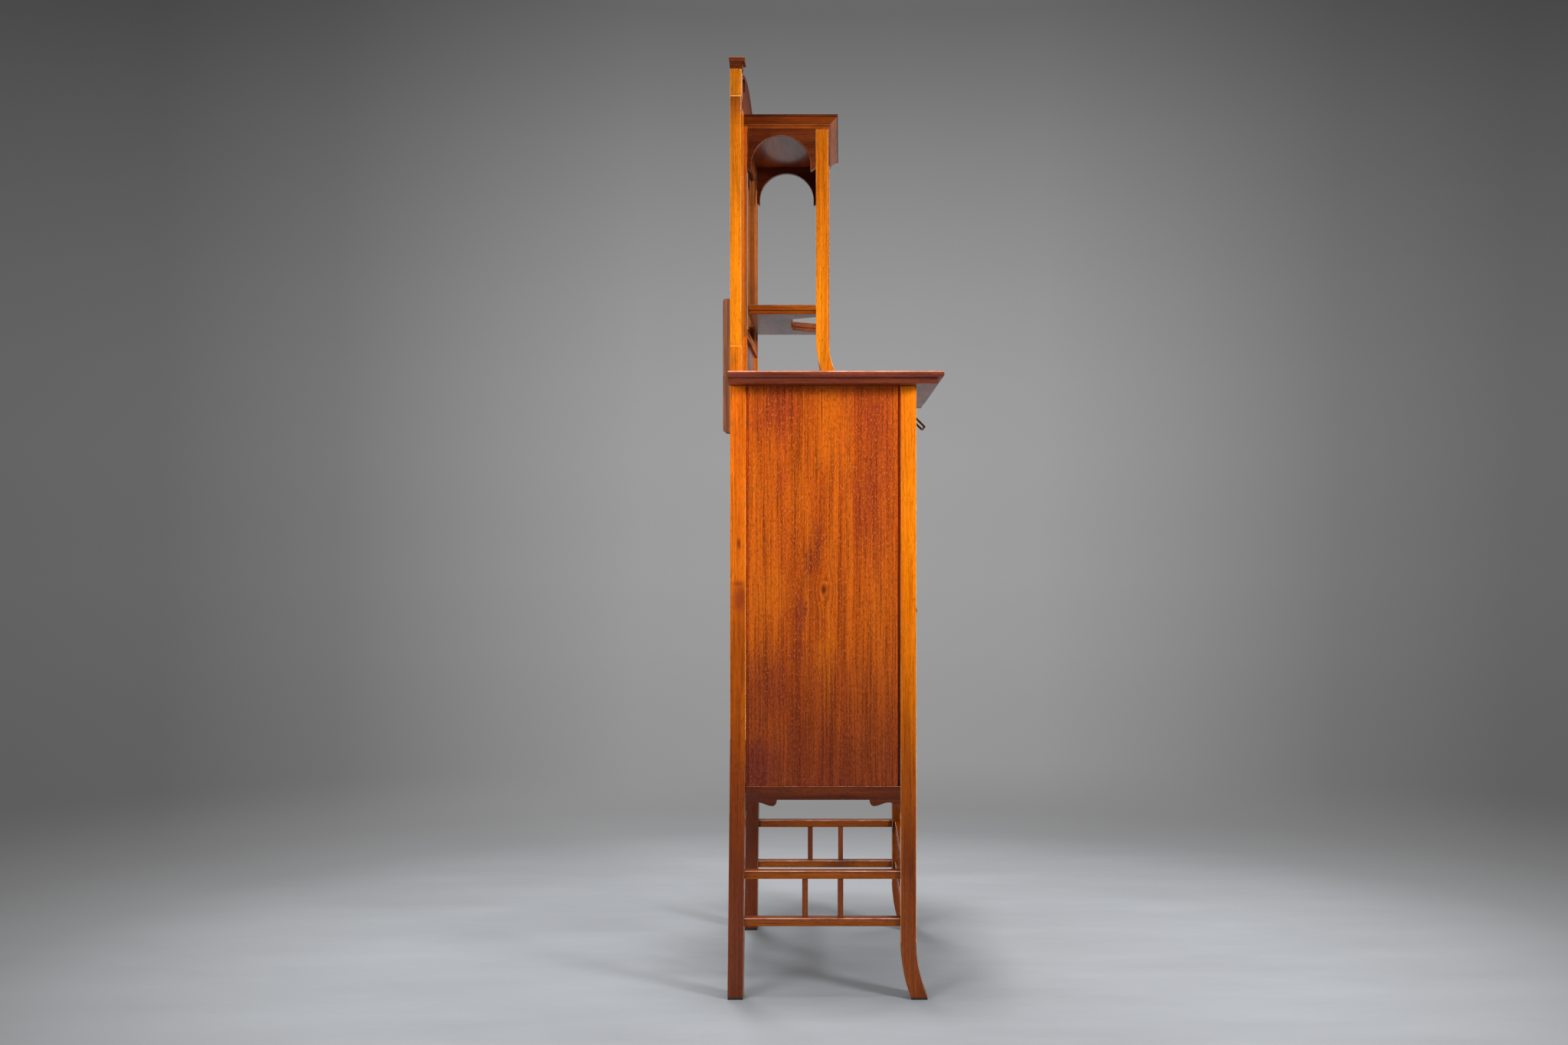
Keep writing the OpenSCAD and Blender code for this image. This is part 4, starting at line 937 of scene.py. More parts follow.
# %% Helper for walking an edge
def walk(name, along, moving, stations, fixed, across):
    """A board that runs along one axis. Its moving edge follows the stations, its other edge stays
    fixed, and across holds its two faces on the third axis"""
    (start, here), (end, _) = stations[:2]
    low, high = [0, 0, 0], [0, 0, 0]
    low[along], high[along] = start, end
    low[moving], high[moving] = sorted((here, fixed))
    low[3 - along - moving], high[3 - along - moving] = across
    piece = block(name, low, high)

    def on(value, wanted):
        return abs(value - wanted) < 0.005

    for u, edge in stations[1:]:
        if u != end:
            pick(piece, lambda c, n: n[along] > 0.7 and on(c[along], end))
            push(**{"xyz"[along]: u - end})
            end = u
        if edge != here:
            pick(piece, lambda c, n: on(c[along], end) and on(c[moving], here), "VERT")
            slide(**{"xyz"[moving]: edge - here})
            here = edge
    return piece


print("walking helper ready")

# %% Aprons
def apron_stations(first, last, width=60, drop=31, z=384):
    """Places along the apron and heights there. Each bracket has a width and a drop below z"""
    hollow_w, swell_w = width * 0.38, width * 0.86
    shallow, deep = drop * 0.16, drop * 0.39
    line = [
        (hollow_w * (1 - math.cos(a)), drop - (drop - shallow) * math.sin(a)) for a in turns(0, 80, 8)
    ]
    for k, a in enumerate(turns(0, 180, 8)):
        out = hollow_w + (swell_w - hollow_w) * k / 8
        line.append((out, shallow + (deep - shallow) * (1 - math.cos(a)) / 2))
    line += [
        (swell_w + (width - swell_w) * math.sin(a), deep * math.cos(a)) for a in turns(0, 90, 8)[1:]
    ]
    return [(first + d, z - h) for d, h in line] + [(last - d, z - h) for d, h in reversed(line)]


# The aprons' upper arrises take the pale finish: a painted highlight where the arris stands proud of the
# panel, over some wear.
def upper_arris(c, n):
    return 0.2 < n.z < 0.97 and c.z > 400


side_apron = walk(
    "apron_right", 1, 2, apron_stations(FRONT + LEG, REAR - LEG), APRON_TOP, (204, 220)
)
ease(side_apron, 1.0, 2, 40)
hand_over_pair(side_apron, "dark_wood", [red["Y"], highlit_wear_red], "side_apron", paint=upper_arris)
front_apron = walk("apron_front", 0, 2, apron_stations(-LEG_IN, LEG_IN), APRON_TOP, (RAIL_FACE, -138))
ease(front_apron, 1.0, 2, 40)
hand_over(front_apron, "dark_wood", [red["X"], highlit_wear_red], "front_apron", paint=upper_arris)

# %% [markdown]
# ## The gallery of rails and spindles
# Between the legs run two slender rails with a small bead along each edge, joined by square
# spindles. The rail's section is made as the mouldings are: its top face is pushed up through
# the beads, row by row, but it grows only across the rail.

# %% Gallery rails
RAIL_H, RAIL_HALF, BEAD = 15.5, 7.5, 1.5
LOW_RAIL, HIGH_RAIL = 139.5, 230.5
FRONT_RAIL_Y, SIDE_RAIL_X = -146, 206
rail_rows = half_round(BEAD, 0, BEAD, 6) + half_round(RAIL_H - BEAD, 0, BEAD, 6)


def rail_arris(across, z):
    """The upper arrises of a rail whose underside is at z, with rubbed polish and a painted highlight"""
    k = "XY".index(across)
    return lambda c, n: n.z > 0.15 and abs(n[k]) > 0.2 and c.z > z + RAIL_H - 2


def gallery_rail(name, low, high, z, across):
    """Makes a rail between two corners and hands it over. Across is the axis of its width"""
    share = (1, 1, 0, 0) if across == "X" else (0, 0, 1, 1)
    rail = moulded(f"gallery_{name}", low, high, z, rail_rows, share)
    look = [rail_golden["YX"["XY".index(across)]], highlit_wear_red]
    rail = both_sides(rail) if across == "X" else rail
    hand_over(rail, "light_wood", look, name, smooth=60, paint=rail_arris(across, z))


levels = (("upper", HIGH_RAIL), ("lower", LOW_RAIL))
for level, z in levels:
    back = REAR - LEG + LEAN * (LEAN_TOP - z - RAIL_H / 2) / (LEAN_TOP - SOLE)
    low, high = (SIDE_RAIL_X - RAIL_HALF, FRONT + LEG), (SIDE_RAIL_X + RAIL_HALF, back)
    gallery_rail(f"side_{level}_rails", low, high, z, "X")
for level, z in levels:
    low, high = (-LEG_IN, FRONT_RAIL_Y - RAIL_HALF), (LEG_IN, FRONT_RAIL_Y + RAIL_HALF)
    gallery_rail(f"front_{level}_rail", low, high, z, "Y")

# %% Spindles
def spindle_row(name, places):
    x0, y0 = places[0]
    first = block(name, (x0 - 5.5, y0 - 5.5, LOW_RAIL + RAIL_H), (x0 + 5.5, y0 + 5.5, HIGH_RAIL))
    ease(first, 0.8)
    return join(name, first, *[copy_of(first, "spindle", x - x0, y - y0) for x, y in places[1:]])


half_pitch = 34.2
side_places = [(s * SIDE_RAIL_X, 19 + k * half_pitch) for s in (1, -1) for k in (-1, 1)]
front_places = [(k * half_pitch, FRONT_RAIL_Y) for k in (-3, -1, 1, 3)]
for side, places in (("side", side_places), ("front", front_places)):
    row = spindle_row(f"gallery_{side}_spindles", places)
    hand_over(row, "light_wood", rail_golden["Z"], f"{side}_spindles")

# %% [markdown]
# ## The top
# The top's edge is a half-round nose that reaches furthest, over a small hollow and a plain band
# set well back. Its back edge is plain, because it stands against the wall.

# %% Top
top_rows = [(0, -11)] + hollow(6, -11, 4) + half_round(16.5, -6.5, 6.5, 10)
top = moulded("moulded_top", (-271, -211), (271, REAR), CASE_TOP, top_rows, (1, 1, 1, 0))


def top_grain_and_highlight(c, n):
    # The upper faces of the nose take the third, pale finish: a painted highlight along the top edge,
    # over some wear.
    if 0.35 < n.z < 0.97 and c.z > CASE_TOP + 20:
        return 2
    return abs(n.x) > 0.3


hand_over(
    top, "dark_wood", [top_red, top_edge_red, highlit_wear_red], "top_slab", smooth=40, paint=top_grain_and_highlight
)

# %% [markdown]
# ## The posts and their caps
# Two posts stand on the top at the back. Each has a square block at its foot and its head, and
# between them the shaft steps in by less than a millimetre, with a small chamfer. The caps have
# a shallow foot, a band and a neck, under a plate that reaches out to the front.

# %% Posts
POST_FRONT = 175
post_rows = [(0, 0), (52, 0), (54, -1.25), (533, -1.25), (535, 0), (586, 0)]
post = moulded(
    "back_post_right", (LEG_IN, POST_FRONT), (LEG_OUT, REAR), TOP_FACE, post_rows, (1, 1, 1, 0)
)
ease(post, 1.2, 3, 50)
hand_over_pair(post, "light_wood", [post_golden, highlit_wear_golden], "post", smooth=25, paint=arris())

# %% Post caps
cap_rows = [
    (0, 0.6), (4.9, 0.6), (4.9, 1.0), (5.88, 1.2), (9.52, 1.2), (10.5, 1.0), (10.5, 0.6), (14, 0.6),
    (14, 3.3), (14.7, 4), (19.4, 4), (20.4, 3.6), (21, 2.5),
]
cap = moulded(
    "moulded_caps", (LEG_IN, POST_FRONT), (LEG_OUT, REAR), CAP_FOOT, cap_rows, (1, 1, 1.75, 0.5)
)
# The sloped faces of the cap's steps take the pale finish: a painted highlight, over some wear.
hand_over(
    both_sides(cap), "dark_wood", [cap_red, highlit_wear_brown], "post_caps", smooth=30,
    paint=lambda c, n: 0.3 < abs(n.z) < 0.97,
)

# %% [markdown]
# ## The columns
# The canopy's front rests on two square columns, whose feet sweep forward as the legs' feet do,
# so the same helper makes them.

# %% Columns
COLUMN_IN, COLUMN_OUT, COLUMN_FRONT, COLUMN_BACK = 116.5, 141, 9, 33.5
column = swept_leg(
    "swept_column_right", (COLUMN_IN, COLUMN_FRONT, TOP_FACE),
    (COLUMN_OUT, COLUMN_BACK, CANOPY_FOOT), 1283, 170,
)
ease(column, 1.3, 3)
hand_over_pair(column, "light_wood", [column_golden, highlit_wear_golden], "column", paint=arris())

# %% [markdown]
# ## The mirror's frame
# The mirror between the posts lies in a moulded frame, mitred at its corners. A block of the
# frame's full size is the start. Its front face is inset again and again, each time by the width
# of one member of the moulding, and moved by that member's depth. Then the opening and the
# rebate for the plate are cut through. The grain turns with the members at each mitre.

# %% Mirror frame
FRAME_X, FRAME_FRONT, FRAME_BACK = 160, 168.7, 185.7


def framed(name, low, high, steps, sight, rebate=0, rebate_y=0):
    """A mitred frame that faces the front. steps hold widths inwards and depths towards the back,
    and sight holds the opening's half width, foot and head"""
    piece = block(name, low, high)
    pick(piece, lambda c, n: n.y < -0.9)
    for width, depth in steps:
        inset(width)
        slide(y=depth)
    x, z0, z1 = sight
    back = high[1] + 5
    cut(piece, block("opening", (-x, low[1] - 5, z0), (x, back, z1)))
    if rebate:
        low, high = (-x - rebate, rebate_y, z0 - rebate), (x + rebate, back, z1 + rebate)
        cut(piece, block("rebate", low, high))
    return piece


def mitre_side(half_x, z0, z1):
    """Says whether a face of a frame lies on an upright member or on a level one"""
    return lambda c, n: half_x - abs(c.x) >= min(c.z - z0, z1 - c.z)


frame_steps = [
    (3.5, 0), (0.2, 1.2), (1.2, -0.5), (1.4, 0.1), (1.2, 0.6), (0.2, 0.8), (2.2, 1.4), (2.4, 1.0),
    (2.6, 0.6), (2.6, 0.2), (0.2, -0.8), (1.2, -0.5), (1.6, 0.0), (1.2, 0.5), (0.2, 0.8), (3.0, 0.3),
]
mirror_frame = framed(
    "mirror_frame", (-FRAME_X, FRAME_FRONT, FRAME_FOOT), (FRAME_X, FRAME_BACK, CANOPY_FOOT),
    frame_steps, (132, 1311, 1670), 7, 179.7,
)
frame_side = mitre_side(FRAME_X, FRAME_FOOT, CANOPY_FOOT)


def frame_grain(c, n):
    if abs(n.x) > 0.9 and abs(c.x) > FRAME_X - 1:
        return 2
    # Sloped faces of the moulding take the fourth, pale finish: painted highlights along its beads, over
    # some wear.
    return 3 if 0.25 < -n.y < 0.75 else frame_side(c, n)


hand_over(
    mirror_frame, "dark_wood", [frame_red["Z"], frame_red["X"], frame_side_brown, highlit_wear_red],
    "mirror_stiles", "mirror_rails", smooth=30, paint=frame_grain,
)

# %% [markdown]
# ## Boards beside and below the mirror
# Plain boards with eased arrises close the back between the posts and the frame, and below the
# mirror. There a thin fillet at each end carries the frame's outer edge down to the top. The
# board behind the plate stays as the CAD model has it.

# %% Back boards
BOARD_BACK, FILLET_IN = 187, 156.5
side_board = block(
    "back_side_boards", (FRAME_X, POST_FRONT, TOP_FACE), (LEG_IN, BOARD_BACK, CANOPY_TOP)
)
ease(side_board, 0.5)
hand_over(both_sides(side_board), "light_wood", golden["Z"], "side_boards")
panel = block(
    "plain_lower_panel", (-FRAME_X, POST_FRONT, TOP_FACE), (FRAME_X, BOARD_BACK, FRAME_FOOT)
)
ease(panel, 0.8, 3)
fillet = block("fillet", (FILLET_IN, FRAME_FRONT, TOP_FACE), (FRAME_X, POST_FRONT + 0.5, FRAME_FOOT))
ease(fillet, 0.5)
hand_over(
    join(panel.name, panel, both_sides(fillet)), "dark_wood", [lower_panel_red, golden["Z"]],
    "lower_panel",
    paint=lambda c, n: c.y < POST_FRONT and abs(c.x) > FILLET_IN - 0.1 and n.z < 0.9,
)

# %% [markdown]
# ## The pediment
# Between the heads of the posts rises an arched crest, pierced near each end by a curved slot
# that follows its edge. The board is walked along its arc. A slot's cutter is a short block that
# Spin sweeps round the arc's centre, with a round rod at each end.

# %% Pediment
RISE, SLOT_HALF, SLOT_EDGE = 43, 12, 8
crest = (LEG_IN ** 2 + RISE ** 2) / (2 * RISE)
centre = 1828 - crest
stations = [
    (x, centre + math.sqrt(crest ** 2 - x * x)) for x in [LEG_IN * (k / 24 - 1) for k in range(49)]
]
pediment = walk("arched_pediment", 0, 2, stations, CANOPY_TOP, (178, 190))
slot = crest - SLOT_EDGE - SLOT_HALF
inner, outer = [math.asin(x / slot) for x in (98, 156)]
for side in (1, -1):
    cutter = block(
        "slot_cutter", (-0.1, 170, centre + slot - SLOT_HALF), (0.1, 200, centre + slot + SLOT_HALF)
    )
    pick(cutter, lambda c, n: n.x * side > 0.9)
    sweep(20, outer, (0, 0, centre), (0, -side, 0))
    trim((0, 0, centre), (side * math.cos(inner), 0, -math.sin(inner)))
    fair(cutter)
    for a in (inner, outer):
        middle = (side * slot * math.sin(a), 185, centre + slot * math.cos(a))
        cut(pediment, rod("slot_end", middle, SLOT_HALF, 30, "Y", 48))
    cut(pediment, cutter)
fair(pediment)
ease(pediment, 0.8, 2, 50)
hand_over(pediment, "dark_wood", dull_red, "pediment", smooth=30)

# %% [markdown]
# ## The canopy and its cornice
# The canopy is a flat board on the columns and the frame. Round its front and sides runs a
# cornice: a band, a small bead, an ogee and a fillet. It is a moulded block with its middle
# taken out, and its front length has its grain across, and its sides from front to back.

# %% Canopy
canopy = block(
    "canopy_top", (-COLUMN_OUT, COLUMN_FRONT, CANOPY_FOOT), (COLUMN_OUT, FRAME_BACK, CANOPY_TOP)
)
ease(canopy, 0.3, 1)
hand_over(canopy, "dark_wood", polished_red, "canopy_board")
ogee = [
    (9 + 9 * (k / 10 - 0.09 * math.sin(2 * a)), 5 + 12 * (1 - math.cos(a)) / 2)
    for k, a in enumerate(turns(0, 180, 10))
]
cornice_rows = [(0, 1.6), (0.4, 2), (5, 2)] + half_round(7, 3, 2, 8) + ogee + [
    (18, 18.6), (18.4, 19), (22.6, 19), (23, 18.6),
]
cornice = moulded(
    "mitred_cornice", (-COLUMN_OUT, COLUMN_FRONT), (COLUMN_OUT, POST_FRONT), CANOPY_FOOT,
    cornice_rows, (1, 1, 1, 0),
)
cut(cornice, block("board_space", (-COLUMN_OUT, COLUMN_FRONT, 1690), (COLUMN_OUT, 180, 1730)))


def cornice_grain(c, n):
    if c.z > 1715.5:
        return 2
    # The bead's upper and outer faces take a paler finish: its own tone with a painted highlight.
    if 1702.5 < c.z < 1708 and n.z > -0.3:
        return 3
    return COLUMN_FRONT - c.y > abs(c.x) - COLUMN_OUT


hand_over(
    cornice, "dark_wood", [cornice_red["Y"], cornice_red["X"], cap_red, bead_brown_highlit],
    "canopy_cornice", smooth=40, paint=cornice_grain,
)

# %% [markdown]
# ## The arched boards
# Under the canopy, an arched board closes each side between column and frame, and a wider one
# spans the front. Their arches are cut with a round tool, as a bandsaw would, and their tips run
# on below the spring of the arch and slant.

# %% Arched boards
def arched(name, low, high, middle, radius, rise, spring, along):
    """A board with an arch cut into its lower edge. The board runs along X or Y"""
    piece = block(name, low, high)
    k = "XY".index(along)
    across = [(low[0] + high[0]) / 2, (low[1] + high[1]) / 2, spring]
    across[k] = middle
    tool = rod("arch_tool", across, radius, 40, "YX"[k], 128)
    pick(tool, lambda c, n: True)
    grow(across, z=rise / radius)
    box_low, box_high = list(low), list(high)
    box_low[k], box_high[k] = middle - radius, middle + radius
    box_low[1 - k] -= 10
    box_high[1 - k] += 10
    box_low[2], box_high[2] = spring - 40, spring
    cut(piece, tool, block("below_arch", box_low, box_high))
    fair(piece)

    def tip(c, n):
        return c.z < spring - 10 and min(abs(c[k] - low[k]), abs(c[k] - high[k])) < 0.05

    pick(piece, tip, "VERT")
    slide(z=6)
    ease(piece, 0.8, 2, 40)
    return piece


def arch_edge(across):
    """The pale edge of the arch, where the board's face turns into it: rubbed polish and a painted
    highlight
    """
    k = "XY".index(across)
    return lambda c, n: 0.2 < abs(n[k]) < 0.97 and n.z < 0.2


arch = arched(
    "side_arches", (130.5, COLUMN_BACK, 1614), (140.5, FRAME_FRONT, CANOPY_FOOT),
    103.1, 59, 59, 1626, "Y",
)
hand_over(
    both_sides(arch), "dark_wood", [red["Y"], highlit_wear_brown], "arch_boards", smooth=30,
    paint=arch_edge("X"),
)
valance = arched(
    "front_arch", (-COLUMN_IN, 16.25, 1615), (COLUMN_IN, 26.25, CANOPY_FOOT), 0, 106.5, 58, 1627, "X"
)
hand_over(
    valance, "dark_wood", [red["X"], highlit_wear_brown], "front_valance", smooth=30, paint=arch_edge("Y")
)

# %% [markdown]
# ## The display shelf
# The shelf reaches from the frame to the columns at its ends. Its arms lean inwards, and its
# middle is cut back to rounded corners. Its lower edge is set back in a step. The front edge is
# walked along, once for the upper layer and once for the lower one.

# %% Display shelf
SHELF_FOOT, SHELF_STEP, SHELF_TOP = 1331, 1338.2, 1349


def shelf_stations(set_back):
    corner_x, corner_y, round_r = 63.36, 77.5, 8 + set_back
    arm_x = 98 + set_back / math.cos(math.radians(30))
    left = [(-COLUMN_OUT + set_back, COLUMN_BACK), (-arm_x, COLUMN_BACK)] + [
        (-corner_x - round_r * math.cos(a), corner_y + round_r * math.sin(a)) for a in turns(30, 90, 8)
    ]
    return left + [(-x, y) for x, y in reversed(left)]


upper = walk("cut_shelf", 0, 1, shelf_stations(0), FRAME_FRONT, (SHELF_STEP, SHELF_TOP))
ease(upper, 1.4, 3, 40)
lower = walk("shelf_step", 0, 1, shelf_stations(3), FRAME_FRONT, (SHELF_FOOT, SHELF_STEP))
ease(lower, 0.8, 2, 40)


def shelf_tone(c, n):
    # The upper arris of the front edge takes the pale finish: a painted highlight, with some wear.
    if c.z > SHELF_TOP - 2 and 0.2 < n.z < 0.97:
        return 2
    return abs(n.x) > 0.6


hand_over(
    join("cut_shelf", upper, lower), "dark_wood", [polished_red, cornice_red["Y"], highlit_wear_brown],
    "display_shelf", smooth=30, paint=shelf_tone,
)

# %% [markdown]
# ## Rails of the case
# A rail closes the case over the drawer, and another parts the drawer from the door. Only their
# two front edges show, so those alone are picked and rounded.

# %% Case rails
for name, back, foot, head in (("top_front_rail", -126, 1165, 1180), ("divider_rail", -116, 1080, 1093)):
    rail = block(f"case_{name}", (-LEG_IN, RAIL_FACE, foot), (LEG_IN, back, head))
    pick(rail, lambda c, n: abs(c.y - RAIL_FACE) < 0.1 and abs(n.x) > 0.9, "EDGE")
    bpy.ops.mesh.bevel(offset=1.2 * MM, segments=3)
    hand_over(rail, "light_wood", golden["X"], name)

# %% [markdown]
# ## The drawer front
# A thin bead stands proud round the drawer front. The front face is inset by the bead's width,
# the ring outside that inset is pushed forward, and its edges are rounded.

# %% Drawer front
OPENING_X, DRAWER_Z, DRAWER_HALF, BEAD_W = 190, 1129, 35, 3
drawer_front = block(
    "beaded_drawer_front", (-OPENING_X, FACE, DRAWER_Z - DRAWER_HALF),
    (OPENING_X, -140, DRAWER_Z + DRAWER_HALF),
)
pick(drawer_front, lambda c, n: n.y < -0.9)
inset(BEAD_W)


def ring(c, n):
    return n.y < -0.9 and (abs(c.x) > OPENING_X - 2 or abs(c.z - DRAWER_Z) > DRAWER_HALF - 2)


pick(drawer_front, ring)
push(y=-1.6)
ease(drawer_front, 0.75, 3, 50)
hand_over(drawer_front, "light_wood", golden["X"], "drawer_front", body="drawer", smooth=50)

# %% [markdown]
# ## The bail handle
# A drop bail hangs between two posts on the drawer front. Each post is turned: a round rosette
# with a raised centre, a stem and an eye. The bail is a rod that bends into its grip through a
# tight quarter turn. It is drawn hanging straight down, and then turned up by 45 degrees. There
# a stop on each eye holds it, just under its arm.

# %% Handle posts
PIVOT_Y, PIVOT_Z, EYE_X, ROD_R = -166, 1137, 35.5, 2.2
STOP_R, STOP_OUT, STOP_GAP = 1.2, 3, 0.1
stop_under = ROD_R + STOP_GAP + STOP_R
stop_y = PIVOT_Y + (stop_under - STOP_OUT) * math.sqrt(0.5)
stop_z = PIVOT_Z - (stop_under + STOP_OUT) * math.sqrt(0.5)


def turned(name, middle, rows):
    """Pushes a round face along Y through rows of distance and radius"""
    (d0, radius), (d1, _) = rows[:2]
    piece = rod(name, (middle[0], middle[1] - (d0 + d1) / 2, middle[2]), radius, d1 - d0, "Y", 40)
    pick(piece, lambda c, n: n.y < -0.9)
    for k, (out, wide) in enumerate(rows[1:]):
        if k:
            push(y=rows[k][0] - out)
        grow((middle[0], middle[1] - out, middle[2]), x=wide / radius, z=wide / radius)
        radius = wide
    return piece


rosette_rows = [
    (0, 9), (0.9, 9), (1.3, 8.6), (1.3, 7.4), (1.6, 7.0), (2.4, 6.2), (2.9, 4.8), (3.1, 3.6),
    (3.2, 3.0), (5.0, 2.5), (6.4, 2.8),
]
posts = []
for side in (1, -1):
    x = side * EYE_X
    stem = turned("handle_post", (x, FACE, PIVOT_Z), rosette_rows)
    eye = rod("eye", (x, PIVOT_Y, PIVOT_Z), 4.6, 6, "X", 48)
    ease(eye, 0.9, 3, 50)
    stop = rod("stop", (side * 38.6, stop_y, stop_z), STOP_R, 6.7, "X", 20)
    bolt = rod("bolt", (x, -147.5, PIVOT_Z), 1.9, 21, "Y")
    nut = rod("nut", (x, -138.5, PIVOT_Z), 4.5, 3, "Y", 6)
    ease(nut, 0.4, 2, 50)
    posts += [stem, eye, stop, bolt, nut]
hand_over(
    join("handle_posts", *posts), "old_brass", old_brass, "bail_posts", body="drawer", smooth=40
)

# %% Bail
ARM_X, BEND, DROP = 41, 6, 32
low_z = PIVOT_Z - DROP
arm = rod("handle_bail", (ARM_X, PIVOT_Y, PIVOT_Z - (DROP - BEND) / 2), ROD_R, DROP - BEND, "Z")
pick(arm, lambda c, n: n.z < -0.9)
sweep(8, math.radians(90), (ARM_X - BEND, PIVOT_Y, low_z + BEND), (0, -1, 0))
fair(arm)
pick(arm, lambda c, n: n.x < -0.9 and c.z < low_z + 1)
here = ARM_X - BEND
for x, wide in ((30, 1.0), (22, 1.05), (12, 1.05), (6, 1.03), (0, 1.02)):
    push(x=x - here)
    grow((x, PIVOT_Y, low_z), y=wide, z=wide)
    here = x
bpy.ops.mesh.delete(type="FACE")
pick(arm, lambda c, n: n.z > 0.9 and c.z > PIVOT_Z - 1)
for up, wide in ((1.0, 0.93), (0.7, 0.75), (0.4, 0.4)):
    push(z=up)
    grow((ARM_X, PIVOT_Y, PIVOT_Z), x=wide, y=wide)
arms = both_sides(arm)
fair(arms)
pin_end = 33
pin = rod("pin", ((ARM_X + pin_end) / 2, PIVOT_Y, PIVOT_Z), 1.6, ARM_X - pin_end, "X")
bail = join("handle_bail", arms, both_sides(pin))
edit(bail)
pivot = Vector((0, PIVOT_Y, PIVOT_Z)) * MM
bpy.ops.transform.rotate(value=math.radians(45), orient_axis="X", center_override=pivot)
hand_over(bail, "old_brass", rubbed_brass, "drawer_bail", body="bail", smooth=50)

# %% [markdown]
# ## The door
# The door is a frame of two stiles and two rails round a bevelled mirror. The stiles run the
# full height and the rails fit between them, so their joints show as fine lines. A small bead
# moulding, mitred at its corners, holds the mirror from the front.

# %% Door frame
DOOR_Z0, DOOR_Z1 = 411, 1079
SIGHT_X, SIGHT_Z0, SIGHT_Z1 = 142, 463, 1027
KEY_X, KEY_Z = -171, 745


def rebated(piece):
    low, high = (-SIGHT_X - 7, -150, SIGHT_Z0 - 7), (SIGHT_X + 7, -130, SIGHT_Z1 + 7)
    cut(piece, block("rebate", low, high))
    return piece


stile = rebated(block("hinge_stile", (SIGHT_X, FACE, DOOR_Z0), (OPENING_X, FACE_BACK, DOOR_Z1)))
lock_stile = copy_of(stile, "lock_stile", mirrored=True)
cut(stile, *[
    block("leaf_recess", (188.5, -160, z - HINGE_HALF), (192, -139, z + HINGE_HALF))
    for z in HINGE_HEIGHTS
])
cut(
    lock_stile,
    block("lock_space", (-192, -146, KEY_Z - 22), (-152, -130, KEY_Z + 22)),
    rod("keyhole", (KEY_X, -150, KEY_Z), 1.6, 30, "Y"),
)
for part, node in ((stile, "door_stile_hinge"), (lock_stile, "door_stile_lock")):
    ease(part, 0.6, 2, 50)
    hand_over(part, "light_wood", golden["Z"], node, body="door")
rails = [
    rebated(block("rail", (-SIGHT_X, FACE, foot), (SIGHT_X, FACE_BACK, head)))
    for foot, head in ((DOOR_Z0, SIGHT_Z0), (SIGHT_Z1, DOOR_Z1))
]
for rail in rails:
    ease(rail, 0.6, 2, 50)
hand_over(join("door_rail_pair", *rails), "light_wood", golden["X"], "door_rails", body="door")

# %% Door moulding
bead_steps = [
    (0.8, -0.6), (1.2, -0.5), (1.4, 0), (1.2, 0.5), (0.6, 0.9), (2.4, 2.6), (2.0, 1.2), (0.4, 0.6),
]
bead = SIGHT_X + 4, SIGHT_Z0 - 4, SIGHT_Z1 + 4
door_bead = framed(
    "door_bead", (-bead[0], -159.4, bead[1]), (bead[0], -151, bead[2]), bead_steps,
    (SIGHT_X - 6, SIGHT_Z0 + 6, SIGHT_Z1 - 6),
)
hand_over(
    door_bead, "light_wood", [cornice_red["Z"], cornice_red["X"]], body="door", smooth=40,
    paint=mitre_side(*bead),
)

# %% [markdown]
# ## Keyhole fitting and hinge screws
# A small turned brass boss stands round the keyhole. Its hole is cut through with a round tool
# and a narrow slot below, the shape of a key. The hinge leaves are let in flush, each held by
# three screws with slotted heads.

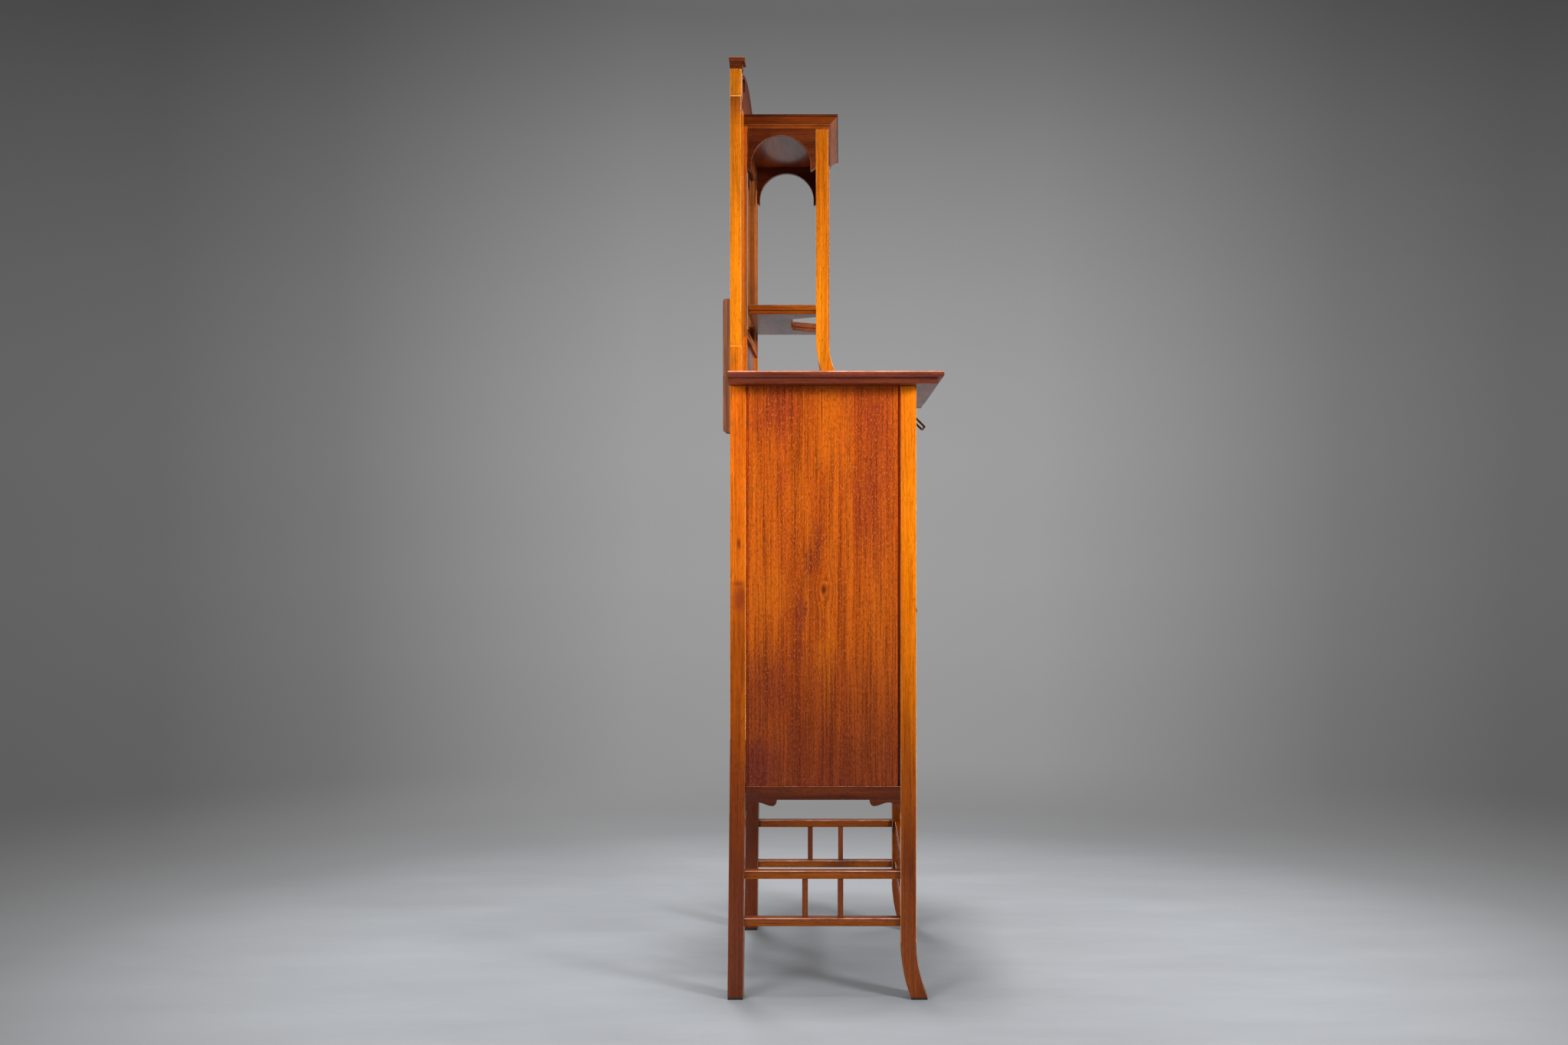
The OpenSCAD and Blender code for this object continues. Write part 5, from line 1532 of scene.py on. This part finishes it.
# %% Keyhole fitting
boss = turned("keyhole_boss", (KEY_X, FACE, KEY_Z), [
    (0, 7.5), (0.7, 7.5), (1.2, 7.0), (1.5, 5.8), (1.6, 4.2), (2.2, 3.4), (4.6, 3.1), (6.0, 3.6),
    (6.8, 3.4), (7.0, 2.8),
])
cut(
    boss,
    rod("key_round", (KEY_X, -160, KEY_Z), 1.5, 20, "Y"),
    block("key_slot", (KEY_X - 0.6, -170, KEY_Z - 3.2), (KEY_X + 0.6, -150, KEY_Z)),
)
hand_over(boss, "old_brass", rubbed_brass, "escutcheon", body="door", smooth=40)

# %% Hinge screws
def screw_head(x, y, z, facing):
    head = rod("screw", (x, y, z), 2.9, 0.6, "X")
    pick(head, lambda c, n: n.x * facing > 0.9)
    inset(0.5)
    slide(x=0.25 * facing)
    near, far = sorted((x, x + 2 * facing))
    cut(head, block("slot", (near, y - 3.2, z - 0.35), (far, y + 3.2, z + 0.35)))
    return head


for body, x, facing in (("door", 190.0, 1), ("case", 191.0, -1)):
    heads = [
        screw_head(x, -150 + 4 * (k % 2), z + (k - 1) * 19, facing)
        for z in HINGE_HEIGHTS for k in range(3)
    ]
    hand_over(join(f"hinge_screws_{body}", *heads), "old_brass", old_brass, body=body, smooth=30)

# %% [markdown]
# ## The finishes of the pieces that stay
# The other solids already have their right shape, so they stay as the CAD model made them and
# only take a finish: veneer, bare wood with its grain along each piece, silver, brass or steel.

# %% Finish the CAD pieces
for finish, *names in (
    (veneer_left, "side_panel_left"),
    (veneer_right, "side_panel_right"),
    (pine["X"], "bottom_board", "inner_shelves", "mirror_backboard"),
    (pine["Y"], "drawer_runners", "shelf_cleats"),
    (pine["Z"], "back_panel", "door_backing"),
    (batten_wood, "back_battens"),
    (lining["X"], "drawer_back", "drawer_bottom"),
    (lining["Y"], "drawer_sides"),
    (mirror_silver, "mirror_plate", "door_mirror"),
    (screw_steel, "batten_screws"),
    (old_brass, "hinge_leaves_case", "hinge_leaves_door", "hinge_pins", "lock_body"),
    (rubbed_brass, "lock_bolt"),
):
    for name in names:
        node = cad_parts[name]
        if not node.material_slots:
            node.data.materials.append(finish)
        for slot_there in node.material_slots:
            slot_there.material = finish
    print(finish.name, names)

# %% Leave nothing selected
nothing_selected()
